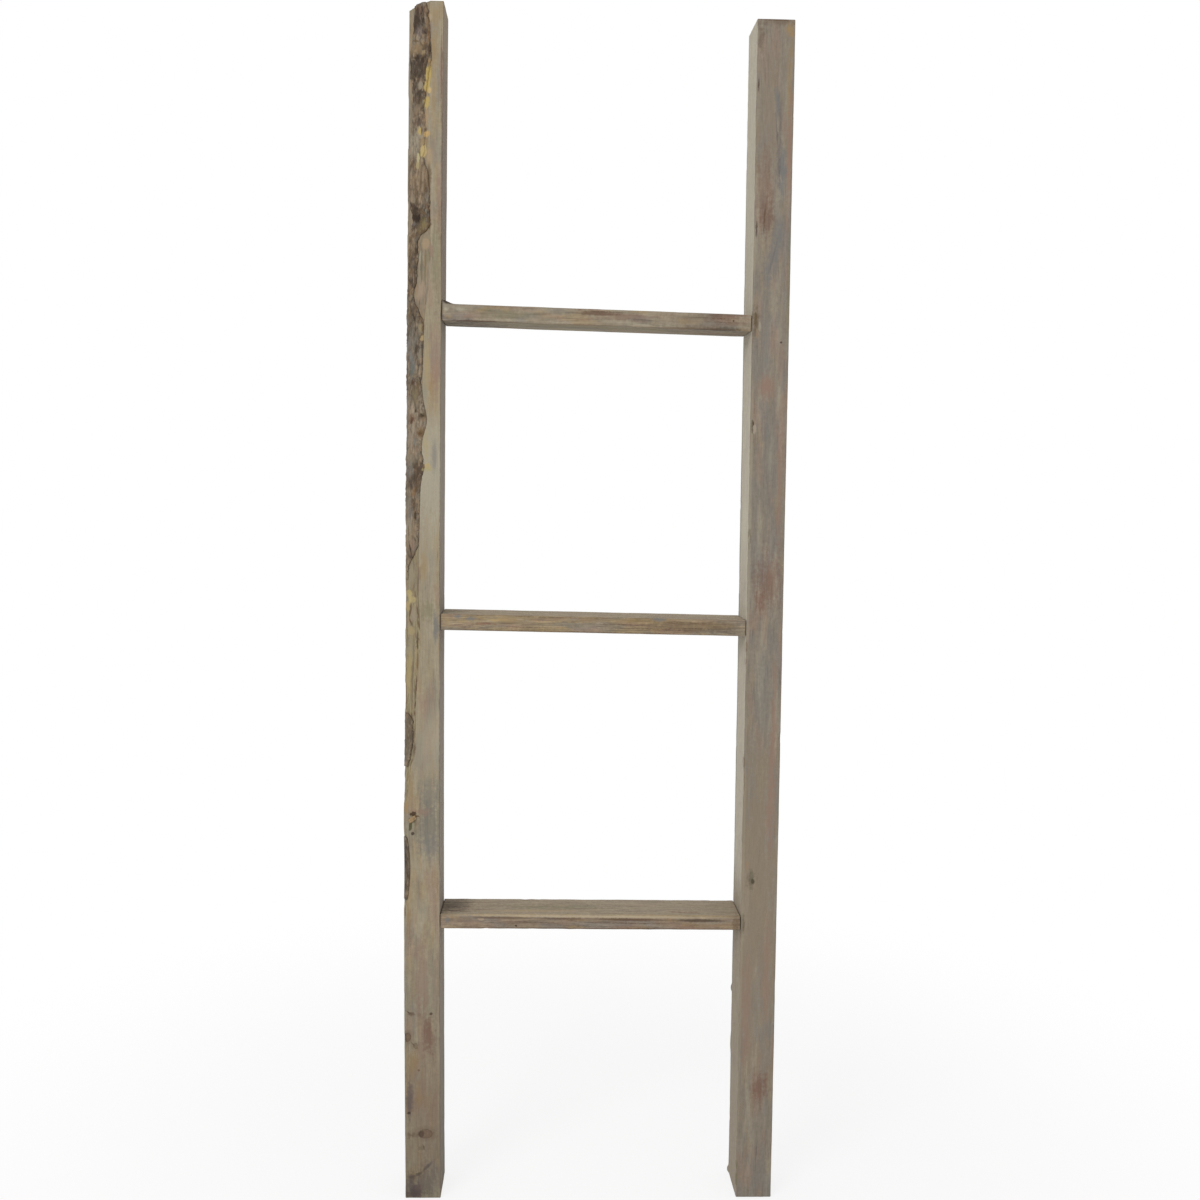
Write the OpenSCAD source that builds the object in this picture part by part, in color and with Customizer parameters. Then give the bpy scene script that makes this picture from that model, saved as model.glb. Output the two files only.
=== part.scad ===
// Decorative ladder of rough sawn, washed wood: two rails, three rungs between them,
// two screws through a rail into each end of a rung, and bark left on one edge.
// Millimetres. Z is up, X runs across the ladder and the front faces -Y.
// The origin is on the floor, at the middle of the ladder's width and depth.

/* [Rails] */
// Height of the left rail, from the floor to its sawn top
left_rail_h = 1219; // [1020:1:1800]
// Height of the right rail, which was sawn a little shorter
right_rail_h = 1210; // [1020:1:1800]
// Width of the left rail across its front face
left_rail_w = 37.5; // [30:0.5:60]
// Width of the right rail across its front face
right_rail_w = 38; // [30:0.5:60]
// Depth of the rails, and of the rungs that lie flush with them
rail_d = 51; // [42:1:80]
// Clear width between the rails at half their height
gap_w = 309; // [200:1:500]
// How far the left rail bows outwards at half its height
left_bow = 2.2; // [0:0.1:6]
// How far the right rail leans inwards at its top, and outwards at its foot
right_lean = 4; // [0:0.5:10]

/* [Rungs] */
// Height of the top rung's upper face at its left end
top_rung_h = 931; // [800:1:1000]
// Height of the middle rung's upper face at its left end
middle_rung_h = 622; // [450:1:750]
// Height of the bottom rung's upper face at its left end
bottom_rung_h = 309; // [120:1:400]
// Thickness of the top rung
top_rung_t = 17; // [12:0.5:30]
// Thickness of the middle rung
middle_rung_t = 17; // [12:0.5:30]
// Thickness of the bottom rung
bottom_rung_t = 15.5; // [12:0.5:30]
// How far the top rung drops towards the right rail
top_rung_drop = 5.4; // [0:0.1:10]
// How far the middle rung drops towards the right rail
middle_rung_drop = 3.1; // [0:0.1:10]
// How far the bottom rung drops towards the right rail
bottom_rung_drop = 0.7; // [0:0.1:10]
// Gap that the saw left between a rung's end and its rail
joint_gap = 0.2; // [0.1:0.05:0.6]

/* [Screws] */
// Outer diameter of a screw's thread and shank
screw_d = 4.2; // [3:0.1:5.5]
// Diameter of a screw at the root of its thread
screw_root_d = 2.9; // [2:0.1:2.9]
// Diameter of a screw's countersunk head
screw_head_d = 7.8; // [6:0.1:10]
// Height of the cone under a screw's head
screw_head_h = 2.4; // [1.5:0.1:4]
// Thickness of the rim on top of the head's cone
screw_rim_h = 0.5; // [0.2:0.1:1]
// Length of a screw's pointed tip
screw_tip_l = 5; // [3:0.5:8]
// Distance from one turn of the thread to the next
thread_pitch = 2.8; // [2:0.1:4]
// Length of screw that bites into a rung
rung_bite = 26; // [18:1:40]
// Distance from the rungs' back to the rear screw of a joint
screw_edge = 8.5; // [6.5:0.5:12]
// Distance between the two screws of a joint
screw_pitch = 13; // [11:0.5:15]
// How far a screw's head lies below the rail's outer face
screw_recess = 0.5; // [0:0.1:1.5]
// Room round a screw in its hole, on the radius
hole_clear = 0.1; // [0.05:0.05:0.4]
// Width of the slots of the cross in a screw's head
cross_w = 0.9; // [0.6:0.1:1.2]
// Length of the slots of the cross in a screw's head
cross_l = 4.4; // [3:0.1:5]
// Depth of the cross in a screw's head
cross_h = 1.6; // [0.8:0.1:2]

/* [Wane and bark] */
// Width of the missing corner on the left rail's front face, at the rail's top
wane_top_w = 24; // [12:1:28]
// Flat wood left on the left rail's outer face behind the missing corner, at the rail's top
wane_side_left = 22; // [20:1:30]
// Height at which the missing corner starts
wane_start_h = 425; // [380:1:600]
// How quickly the missing corner widens above its start, where less is quicker
wane_taper = 0.36; // [0.25:0.01:0.8]
// Radius of the log's round surface, which the missing corner follows
log_r = 120; // [80:1:300]
// Thickness of the bark at its middle
bark_t = 3; // [1:0.1:4]
// Thickness of the bark at its broken edges
bark_edge_t = 0.5; // [0.3:0.1:1]
// Bare wood beside the bark, along each edge of the missing corner
bark_edge = 1; // [0.9:0.1:3]
// Bare wood beside the bark at the rail's top, next to the outer face
bark_bare_top = 8; // [2:1:12]
// Length of the stretch at the rail's top on which that bare wood widens
bark_bare_l = 70; // [30:1:150]
// Bare stretch from the start of the missing corner up to the middle piece of bark
bark_start_l = 38; // [11:1:60]
// Length of the middle piece of bark
middle_bark_l = 55; // [30:1:110]
// Bare stretch between the middle piece of bark and the long strip above it
bark_break_l = 137; // [20:1:220]
// Height at which the small missing corner near the bottom rung starts
low_wane_h = 314; // [150:1:335]
// Length of that small missing corner
low_wane_l = 86; // [40:1:100]
// Width of that small missing corner on the front face
low_wane_w = 7; // [5:0.5:10]
// Bare wood beyond each end of the bark on that small missing corner
low_bark_trim = 10; // [8:1:18]

/* [Hidden] */

// The rungs' sizes, from the top one down
TOP = 0;
MIDDLE = 1;
BOTTOM = 2;
rung_h = [top_rung_h, middle_rung_h, bottom_rung_h];
rung_t = [top_rung_t, middle_rung_t, bottom_rung_t];
rung_drop = [top_rung_drop, middle_rung_drop, bottom_rung_drop];

// The box's middle lies at x = 0, so the left rail's inner edge at the floor is at x_in
x_in = (left_rail_w + left_bow - gap_w - right_lean - right_rail_w) / 2;
y_front = -rail_d / 2;
y_back = rail_d / 2;

// Inner face of the left rail at height z, and of the right rail
function left_x(z) = x_in - left_bow * (1 - pow(2 * z / left_rail_h - 1, 2));
function right_x(z) = x_in + gap_w + right_lean * (1 - 2 * z / right_rail_h);
function left_outer_x(z) = left_x(z) - left_rail_w;
function right_outer_x(z) = right_x(z) + right_rail_w;

// Upper and lower face of rung k at its left end and at its right end
function rung_top_left(k) = rung_h[k];
function rung_top_right(k) = rung_h[k] - rung_drop[k];
function rung_low_left(k) = rung_top_left(k) - rung_t[k];
function rung_low_right(k) = rung_top_right(k) - rung_t[k];

// A screw is long enough for the wider rail and the bite
screw_l = max(left_rail_w, right_rail_w) + rung_bite;
screw_thread_l = rung_bite + screw_tip_l;
// Where each turn of the thread has its root, as shares of the pitch
thread_root_from = 0.3;
thread_root_to = 0.7;
hole_spare = 1;
round_fn = 48;

bow_steps = 12;
wane_steps = 16;
wane_points = 5;
wane_reach = 12;
wane_first = 1;

// Colours
washed_wood = [0.57, 0.53, 0.45];
pink_wood = [0.54, 0.49, 0.43];
ochre_wood = [0.56, 0.50, 0.40];
bark_brown = [0.33, 0.27, 0.21];
zinc = [0.72, 0.71, 0.66];

// Missing corner of the left rail

// There are two missing corners, the long one and the small low one
LONG = 0;
LOW = 1;
wane_top_d = rail_d - wane_side_left;
wane_chord = norm([wane_top_w, wane_top_d]);
// Unit steps along the missing corner's flat, from the side to the front, and out of it
along = [wane_top_w, -wane_top_d] / wane_chord;
outward = [-wane_top_d, -wane_top_w] / wane_chord;

function long_share(z) = (z - wane_start_h) / (left_rail_h - wane_start_h);
function long_w(z) = wane_top_w * pow(max(0, long_share(z)), wane_taper);
function low_share(z) = max(0, min(1, (z - low_wane_h) / low_wane_l));
function low_w(z) = low_wane_w * sqrt(sin(180 * low_share(z)));
function wane_w(which, z) = which == LONG ? long_w(z) : low_w(z);
function chord_at(which, z) = wane_w(which, z) * wane_chord / wane_top_w;

// Point on the missing corner at height z, c millimetres from the side, and out by t
function wane_point(which, z, c, t) =
    let (
        whole = chord_at(which, z),
        start = [left_outer_x(z), y_front + whole * wane_top_d / wane_chord],
        swell = c * (whole - c) / (2 * log_r),
        p = start + along * c + outward * (swell + t)
    ) [p[0], p[1], z];

// Heights of the rings that shape each missing corner
function long_heights(top) = [
    for (i = [0 : wane_steps])
    wane_start_h + wane_first + (top - wane_start_h - wane_first) * pow(i / wane_steps, 2)
];
function low_heights() = [
    for (i = [0 : wane_steps])
    low_wane_h + wane_first + (low_wane_l - 2 * wane_first) * i / wane_steps
];
function wane_heights(which, top) = which == LONG ? long_heights(top) : low_heights();

// Joins rings of equal length into a solid; cap lists the triangles that close a ring
module loft(rings, cap) {
    n = len(rings[0]);
    last = (len(rings) - 1) * n;
    sides = [
        for (r = [0 : len(rings) - 2])
        for (i = [0 : n - 1])
        let (a = r * n + i, b = r * n + (i + 1) % n)
        for (face = [[a, b, a + n], [b, b + n, a + n]]) face
    ];
    low_cap = [for (f = cap) [f[2], f[1], f[0]]];
    high_cap = [for (f = cap) [f[0] + last, f[1] + last, f[2] + last]];
    polyhedron([for (ring = rings) for (p = ring) p], concat(sides, low_cap, high_cap));
}

// What the saw never met: everything outside the log's round surface
function cutter_ring(which, z) =
    let (whole = chord_at(which, z)) concat(
        [wane_point(which, z, -wane_reach, 0)],
        [for (i = [0 : wane_points]) wane_point(which, z, whole * i / wane_points, 0)],
        [wane_point(which, z, whole + wane_reach, 0)],
        [[left_outer_x(z) - wane_reach, y_front - wane_reach, z]]
    );

module wane_cutter(which) {
    n = wane_points + 4;
    cap = [for (i = [0 : n - 3]) [n - 1, i, i + 1]];
    top = left_rail_h + wane_reach;
    loft([for (z = wane_heights(which, top)) cutter_ring(which, z)], cap);
}

// Lower ends of the middle piece of bark and of the long strip
middle_bark_h = wane_start_h + bark_start_l;
upper_bark_h = middle_bark_h + middle_bark_l + bark_break_l;

// Bark lies on the missing corner from height z0 to z1
bark_gap = 0.15;
bark_points = 5;
bark_thinning = 1.5;
function bark_bare(z) =
    bark_edge + (bark_bare_top - bark_edge) * max(0, 1 - (left_rail_h - z) / bark_bare_l);
function bark_mid_t(which, z) =
    bark_edge_t + (bark_t - bark_edge_t) * pow(chord_at(which, z) / wane_chord, bark_thinning);
function bark_ring(which, z) =
    let (
        bare = which == LONG ? bark_bare(z) : bark_edge,
        wide = chord_at(which, z) - bare - bark_edge,
        mid = bark_mid_t(which, z)
    ) concat(
        [for (i = [0 : bark_points])
            wane_point(which, z, bare + wide * i / bark_points, bark_gap)],
        [for (i = [bark_points : -1 : 0])
            let (rise = bark_edge_t + (mid - bark_edge_t) * sin(180 * i / bark_points))
            wane_point(which, z, bare + wide * i / bark_points, bark_gap + rise)]
    );

module bark(which, z0, z1) {
    m = 2 * bark_points + 1;
    inner = wane_heights(which, left_rail_h + wane_reach);
    heights = concat([z0], [for (z = inner) if (z > z0 + 1 && z < z1 - 1) z], [z1]);
    cap = [
        for (i = [0 : bark_points - 1])
        for (f = [[i, i + 1, m - i], [i + 1, m - i - 1, m - i]]) f
    ];
    color(bark_brown) loft([for (z = heights) bark_ring(which, z)], cap);
}

// Screws

// One screw, its head's top at the origin and its point up the Z axis
module screw() {
    thread_z = screw_l - screw_thread_l;
    turns = floor((screw_thread_l - screw_tip_l) / thread_pitch);
    rim_r = screw_head_d / 2;
    shank_r = screw_d / 2;
    root_r = screw_root_d / 2;
    outline = concat(
        [[0, 0], [rim_r, 0], [rim_r, screw_rim_h], [shank_r, screw_rim_h + screw_head_h]],
        [[shank_r, thread_z]],
        [for (i = [0 : turns - 1])
            for (p = [
                [root_r, thread_z + (i + thread_root_from) * thread_pitch],
                [root_r, thread_z + (i + thread_root_to) * thread_pitch],
                [shank_r, thread_z + (i + 1) * thread_pitch]
            ]) p],
        [[root_r, screw_l - screw_tip_l], [0, screw_l]]
    );
    difference() {
        rotate_extrude($fn = round_fn)
            polygon(outline);
        for (a = [0, 90])
            rotate([0, 0, a])
                translate([-cross_l / 2, -cross_w / 2, -1])
                    cube([cross_l, cross_w, cross_h + 1]);
    }
}

// The hole that a screw leaves in the rail and the rung
module screw_hole() {
    rim_r = screw_head_d / 2 + hole_clear;
    shank_r = screw_d / 2 + hole_clear;
    cone_z = screw_rim_h + hole_clear;
    translate([0, 0, -wane_reach])
        cylinder(h = wane_reach + cone_z, r = rim_r, $fn = round_fn);
    translate([0, 0, cone_z])
        cylinder(h = screw_head_h, r1 = rim_r, r2 = shank_r, $fn = round_fn);
    cylinder(h = screw_l + hole_spare, r = shank_r, $fn = round_fn);
}

// Puts a child at each screw of rung k's left end or right end
module at_left_screws(k) {
    z = (rung_top_left(k) + rung_low_left(k)) / 2;
    for (y = [y_back - screw_edge, y_back - screw_edge - screw_pitch])
        translate([left_outer_x(z) + screw_recess, y, z])
            rotate([0, 90, 0])
                children();
}

module at_right_screws(k) {
    z = (rung_top_right(k) + rung_low_right(k)) / 2;
    for (y = [y_back - screw_edge, y_back - screw_edge - screw_pitch])
        translate([right_outer_x(z) - screw_recess, y, z])
            rotate([0, -90, 0])
                children();
}

module left_screws(k) {
    color(zinc) at_left_screws(k) screw();
}

module right_screws(k) {
    color(zinc) at_right_screws(k) screw();
}

// Rails and rungs

// A board of the ladder's depth whose front has this outline in X and Z
module board(outline) {
    rotate([90, 0, 0])
        linear_extrude(rail_d, center = true)
            polygon(outline);
}

module left_rail() {
    heights = [for (i = [0 : bow_steps]) left_rail_h * i / bow_steps];
    outline = concat(
        [for (z = heights) [left_outer_x(z), z]],
        [for (i = [bow_steps : -1 : 0]) [left_x(heights[i]), heights[i]]]
    );
    color(washed_wood) difference() {
        board(outline);
        wane_cutter(LONG);
        wane_cutter(LOW);
        for (k = [TOP, MIDDLE, BOTTOM])
            at_left_screws(k) screw_hole();
    }
}

module right_rail() {
    color(pink_wood) difference() {
        board([
            [right_x(0), 0],
            [right_outer_x(0), 0],
            [right_outer_x(right_rail_h), right_rail_h],
            [right_x(right_rail_h), right_rail_h]
        ]);
        for (k = [TOP, MIDDLE, BOTTOM])
            at_right_screws(k) screw_hole();
    }
}

module rung(k) {
    difference() {
        board([
            [left_x(rung_low_left(k)) + joint_gap, rung_low_left(k)],
            [right_x(rung_low_right(k)) - joint_gap, rung_low_right(k)],
            [right_x(rung_top_right(k)) - joint_gap, rung_top_right(k)],
            [left_x(rung_top_left(k)) + joint_gap, rung_top_left(k)]
        ]);
        at_left_screws(k) screw_hole();
        at_right_screws(k) screw_hole();
    }
}

module top_rung() {
    color(washed_wood) rung(TOP);
}

module middle_rung() {
    color(ochre_wood) rung(MIDDLE);
}

module bottom_rung() {
    color(pink_wood) rung(BOTTOM);
}

module upper_bark() {
    bark(LONG, upper_bark_h, left_rail_h);
}

module middle_bark() {
    bark(LONG, middle_bark_h, middle_bark_h + middle_bark_l);
}

module lower_bark() {
    bark(LOW, low_wane_h + low_bark_trim, low_wane_h + low_wane_l - low_bark_trim);
}

left_rail();
right_rail();
top_rung();
middle_rung();
bottom_rung();
upper_bark();
middle_bark();
lower_bark();
left_screws(TOP);  // top_left_screws
right_screws(TOP);  // top_right_screws
left_screws(MIDDLE);  // middle_left_screws
right_screws(MIDDLE);  // middle_right_screws
left_screws(BOTTOM);  // bottom_left_screws
right_screws(BOTTOM);  // bottom_right_screws
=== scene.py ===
"""Decorative ladder of rough sawn, washed boards, with bark left along one edge."""

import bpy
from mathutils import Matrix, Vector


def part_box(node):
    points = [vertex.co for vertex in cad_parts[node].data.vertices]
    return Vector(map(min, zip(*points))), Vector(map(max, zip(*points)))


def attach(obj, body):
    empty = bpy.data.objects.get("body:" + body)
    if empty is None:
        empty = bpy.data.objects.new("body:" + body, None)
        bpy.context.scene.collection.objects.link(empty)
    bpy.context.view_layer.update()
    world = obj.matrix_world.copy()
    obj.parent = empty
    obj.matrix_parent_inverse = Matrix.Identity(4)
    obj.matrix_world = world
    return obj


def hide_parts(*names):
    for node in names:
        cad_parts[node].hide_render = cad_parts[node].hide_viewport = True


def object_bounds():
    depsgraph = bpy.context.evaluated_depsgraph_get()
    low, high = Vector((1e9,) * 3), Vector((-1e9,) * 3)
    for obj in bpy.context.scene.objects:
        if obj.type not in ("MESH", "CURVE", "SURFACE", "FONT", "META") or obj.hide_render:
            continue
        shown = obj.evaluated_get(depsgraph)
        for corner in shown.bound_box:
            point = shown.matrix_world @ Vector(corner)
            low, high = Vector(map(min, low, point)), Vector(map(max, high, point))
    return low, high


bl_info = {
    "name": "Decorative Ladder",
    "version": (1, 0, 0),
    "blender": (4, 5, 0),
    "location": "View3D > Sidebar > Ladder",
    "description": "Dresses a rustic wooden ladder: worn boards, knots, stains, bark and screws",
    "category": "Object",
}

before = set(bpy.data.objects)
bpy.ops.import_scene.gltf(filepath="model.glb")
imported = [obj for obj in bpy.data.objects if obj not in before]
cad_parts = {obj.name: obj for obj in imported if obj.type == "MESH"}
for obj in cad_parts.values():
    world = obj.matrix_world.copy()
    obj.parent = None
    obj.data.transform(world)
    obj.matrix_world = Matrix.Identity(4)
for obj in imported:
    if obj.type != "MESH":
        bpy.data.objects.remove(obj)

import math

import bmesh
import bpy
import numpy as np
from bpy.props import FloatProperty, FloatVectorProperty, PointerProperty
from bpy.types import Operator, Panel, PropertyGroup
from mathutils import Matrix, Vector

CAD_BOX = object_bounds()
MM = 0.001
RUNGS = ("top_rung", "middle_rung", "bottom_rung")
BARKS = ("upper_bark", "middle_bark", "lower_bark")
# Points of a CAD node this close to a face count as on it, and this close to an edge as on that
ON_FACE = 0.02
ON_EDGE = 2


# Reading the frame, in millimetres

def corners_mm(node):
    """Every point of a CAD node's mesh."""
    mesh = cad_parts[node].data
    places = np.zeros(len(mesh.vertices) * 3, np.float32)
    mesh.vertices.foreach_get("co", places)
    return places.reshape(-1, 3).astype(float) / MM


def box_mm(node):
    """Lowest and highest corner of a CAD node."""
    low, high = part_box(node)
    return np.array(low) / MM, np.array(high) / MM


Y_FRONT = box_mm("left_rail")[0][1]
Y_BACK = box_mm("left_rail")[1][1]
DEPTH = Y_BACK - Y_FRONT


def on_face(points, y):
    """Those of the points that lie on the face at depth y."""
    return points[np.abs(points[:, 1] - y) < ON_FACE]


def furthest(points, side):
    """The heights that the points lie at, and how far they reach there to the left (-1) or right (1)."""
    heights = np.round(points[:, 2], 2)
    levels = np.unique(heights)
    return levels, np.array([side * (side * points[heights == level, 0]).max() for level in levels])


def back_edge(node, side):
    """Heights and places of a rail's back edge on one side."""
    low, high = box_mm(node)
    points = on_face(corners_mm(node), Y_BACK)
    return furthest(points[side * (points[:, 0] - (low[0] + high[0]) / 2) > 0], side)


class RailShape:
    """Where a rail's two sides lie at any height."""

    def __init__(self, node, inner_side, skew):
        self.inner_side = inner_side
        self.inner_line = back_edge(node, inner_side)
        self.outer_line = back_edge(node, -inner_side)
        self.height = box_mm(node)[1][2]
        self.skew = skew

    def outer(self, z):
        """The outer face."""
        return np.interp(z, *self.outer_line)

    def inner(self, z, y=Y_FRONT):
        """The inner face, which may be sawn out of square towards the back."""
        return np.interp(z, *self.inner_line) + self.skew * (np.asarray(y) - Y_FRONT) / DEPTH


# How far the right rail's inner face runs inwards from front to back
RIGHT_SKEW = -1.3
LEFT = RailShape("left_rail", 1, 0)
RIGHT = RailShape("right_rail", -1, RIGHT_SKEW)


# The left rail's missing corner (wane), which the bark lies on

# Radius of the log under its bark
LOG_R = 120
# A missing corner narrower than this counts as none
LEAST_WANE = 0.3
# Where the wane bites deeper into the front face: height, half length, extra width
BITES = [
    (1160, 30, 3), (1030, 45, 4), (965, 38, 5), (816, 16, 5), (770, 12, 4), (585, 45, 4), (500, 30, 2),
]


def wane_front():
    """Heights and places of the missing corner's front edge."""
    points = on_face(corners_mm("left_rail"), Y_FRONT)
    return furthest(points[points[:, 0] < LEFT.inner(points[:, 2]) - ON_EDGE], 1)


WANE_HEIGHTS, WANE_FRONT = wane_front()
WANE_TOP_W = WANE_FRONT[-1] - LEFT.outer(LEFT.height)


def wane_top_depth():
    """How deep the missing corner reaches down the rail's side at its top."""
    points = corners_mm("left_rail")
    points = points[points[:, 2] > LEFT.height - ON_FACE]
    points = points[points[:, 0] < LEFT.outer(LEFT.height) + ON_FACE]
    return points[:, 1].min() - Y_FRONT


WANE_DEPTH_SHARE = wane_top_depth() / WANE_TOP_W


def wane_size(z):
    """Width of the missing corner on the front face, and its depth on the side."""
    z = np.asarray(z, float)
    width = np.interp(z, WANE_HEIGHTS, WANE_FRONT) - LEFT.outer(z)
    width = np.where(width < LEAST_WANE, 0, width)
    bites = sum(extra * np.exp(-(((z - height) / half) ** 2)) for height, half, extra in BITES)
    return width + np.where(width > 0, bites * np.minimum(1, width / 8), 0), width * WANE_DEPTH_SHARE


def on_wane(z, c, out=0.0):
    """Point on the missing corner: c from its side edge towards the front, and out from the wood."""
    width, depth = wane_size(z)
    chord = np.maximum(wane_chord(z), 0.01)
    rise = np.clip(c, 0, None) * (chord - c) / (2 * LOG_R) + out
    x = LEFT.outer(z) + width / chord * c - depth / chord * rise
    y = Y_FRONT + depth - depth / chord * c - width / chord * rise
    return np.stack([x, y, np.broadcast_to(np.asarray(z, float), np.shape(x))], -1)


def wane_chord(z):
    """Width of the missing corner's own slanting face."""
    return np.hypot(*wane_size(z))


# Repeatable noise on points

# Odd factors that mix up a cell's numbers and its seed, and the most that the result can be
MIXERS = (374761393, 668265263, 1274126177)
SEED_MIXER = 1103515245
MOST = 0xFFFFFFFF


def lattice(cells, seed):
    """A number from 0 to 1 for each whole-number cell, the same in each run."""
    mixed = sum(cells[..., axis] * MIXERS[axis] for axis in range(3))
    mixed = (mixed + seed * SEED_MIXER) & MOST
    mixed = ((mixed ^ (mixed >> 13)) * MIXERS[2]) & MOST
    return (mixed ^ (mixed >> 16)) / MOST


def noise(points, size, seed, octaves=1):
    """Smooth noise from -1 to 1 with lumps of the given size, which may differ by axis."""
    total = np.zeros(points.shape[:-1])
    weight = 1.0
    scaled = points / np.asarray(size, float)
    for octave in range(octaves):
        cells = np.floor(scaled).astype(np.int64)
        part = scaled - cells
        part = part * part * (3 - 2 * part)
        value = np.zeros(points.shape[:-1])
        for corner in np.ndindex(2, 2, 2):
            share = np.prod(np.where(corner, part, 1 - part), axis=-1)
            value += share * lattice(cells + np.array(corner), seed + 17 * octave)
        total += weight * (2 * value - 1)
        scaled = scaled * 2.03
        weight *= 0.5
    return total / (2 - 2 * weight)


def along_noise(places, size, seed, octaves=1):
    """The same noise along a line."""
    flat = np.zeros(np.shape(places) + (3,))
    flat[..., 0] = places
    return noise(flat, size, seed, octaves)


def plates(across, along, seed):
    """Cells of a jittered grid: how far a point lies from its cell's edge, and a number for the cell."""
    column = np.floor(across).astype(np.int64)
    row = np.floor(along).astype(np.int64)
    nearest = np.full(across.shape, np.inf)
    second = np.full(across.shape, np.inf)
    chosen = np.zeros(across.shape)
    for i in (-1, 0, 1):
        for j in (-1, 0, 1):
            cell = np.stack([column + i, row + j, np.zeros_like(column)], -1)
            seed_x = column + i + 0.15 + 0.7 * lattice(cell, seed)
            seed_y = row + j + 0.15 + 0.7 * lattice(cell, seed + 1)
            away = np.hypot(across - seed_x, along - seed_y)
            closer = away < nearest
            second = np.where(closer, nearest, np.minimum(second, away))
            chosen = np.where(closer, lattice(cell, seed + 2), chosen)
            nearest = np.minimum(nearest, away)
    return second - nearest, chosen


def ease(value, low, high):
    """0 below low, 1 above high and smooth between."""
    share = np.clip((value - low) / (high - low), 0, 1)
    return share * share * (3 - 2 * share)


# Boards

def section(corners, before, after, swell, cut_steps, shares):
    """Rings round a four-cornered board, one for each station along it.

    corners is (stations, 4, 2), anticlockwise. Each corner is cut off from before it to after it,
    and the cut swells outwards. shares holds the places of the points across each face. Returns the
    rings and the outward direction at each point.
    """
    rings = []
    outs = []
    for k in range(4):
        here = corners[:, k]
        last = corners[:, k - 1]
        following = corners[:, (k + 1) % 4]
        start = here + unit(last - here) * before[:, k, None]
        end = here + unit(following - here) * after[:, k, None]
        out = turned(unit(end - start))
        last_out = turned(unit(here - last))
        next_out = turned(unit(following - here))
        for i in range(cut_steps[k] + 1):
            t = i / cut_steps[k]
            bulge = (4 * t * (1 - t) * swell[:, k])[:, None]
            rings.append(start + (end - start) * t + out * bulge)
            if t < 0.5:
                outs.append(unit(out * 2 * t + last_out * (1 - 2 * t)))
            else:
                outs.append(unit(out * (2 - 2 * t) + next_out * (2 * t - 1)))
        next_start = following + unit(here - following) * before[:, (k + 1) % 4, None]
        for t in shares[k]:
            rings.append(end + (next_start - end) * t)
            outs.append(next_out)
    return np.stack(rings, 1), np.stack(outs, 1)


def unit(vectors):
    """The same directions with length 1."""
    return vectors / np.maximum(np.linalg.norm(vectors, axis=-1, keepdims=True), 1e-9)


def turned(vectors):
    """The direction to the right of each direction, which is outwards on an anticlockwise ring."""
    return np.stack([vectors[..., 1], -vectors[..., 0]], -1)


# How far a face's first points lie from its edges
NEAR_EDGE = 0.5


def face_shares(width, step):
    """Places across a face: close to its two edges, then evenly spaced."""
    near = NEAR_EDGE / width
    steps = max(2, round(width / step))
    return [near] + [i / steps for i in range(1, steps)] + [1 - near]


def four_corners(*corners):
    """A board's corners for section: each is a pair of places, which may change along the board."""
    return np.stack([np.stack(np.broadcast_arrays(*corner), -1) for corner in corners], 1)


def with_length(rings, lengths):
    """The rings' points, each with its place along the board."""
    along = np.broadcast_to(lengths[:, None, None], rings.shape[:2] + (1,))
    return np.concatenate([rings, along], -1)


# Places near a board's end, and how far from the end the even spacing begins
END_PLACES = (0, 0.25, 0.6, 1.2, 2.0)
EVEN_FROM = 4


def stations(length, step):
    """Places along a board: close together at both ends, then evenly spaced."""
    ends = np.array(END_PLACES)
    even = np.linspace(EVEN_FROM, length - EVEN_FROM, round((length - 2 * EVEN_FROM) / step))
    return np.concatenate([ends, even, length - ends[::-1]])


# Sizes of the rings that close an end, as shares of its rim
END_SHARES = (0.9, 0.72, 0.5, 0.26)
# How rough a sawn end is
END_ROUGH = 0.35


def with_ends(rings, outs, lengths, worn, seed):
    """Rounds a board's end edges and closes its two ends with rings that shrink to the middle."""
    length = lengths[-1]
    to_end = np.minimum(lengths, length - lengths)
    inset = worn - np.sqrt(np.maximum(worn ** 2 - np.clip(worn - to_end, 0, worn) ** 2, 0))
    rings = rings - outs * inset[:, None, None]
    solid = with_length(rings, lengths)
    caps = []
    for which, direction in ((0, 1), (-1, -1)):
        rim = solid[which]
        middle = rim.mean(0)
        cap = np.stack([middle + (rim - middle) * share for share in END_SHARES])
        rough = END_ROUGH * (1 + noise(cap, (4, 4, 4), seed + which, 2))
        cap[..., 2] += direction * rough
        caps.append(cap)
    centres = [caps[0][-1].mean(0), caps[1][-1].mean(0)]
    return np.concatenate([caps[0][::-1], solid, caps[1]]), centres


def add_object(name, data):
    """A new object in the scene."""
    thing = bpy.data.objects.new(name, data)
    bpy.context.scene.collection.objects.link(thing)
    return thing


MIDDLE_VALUE = 0.5


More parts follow.
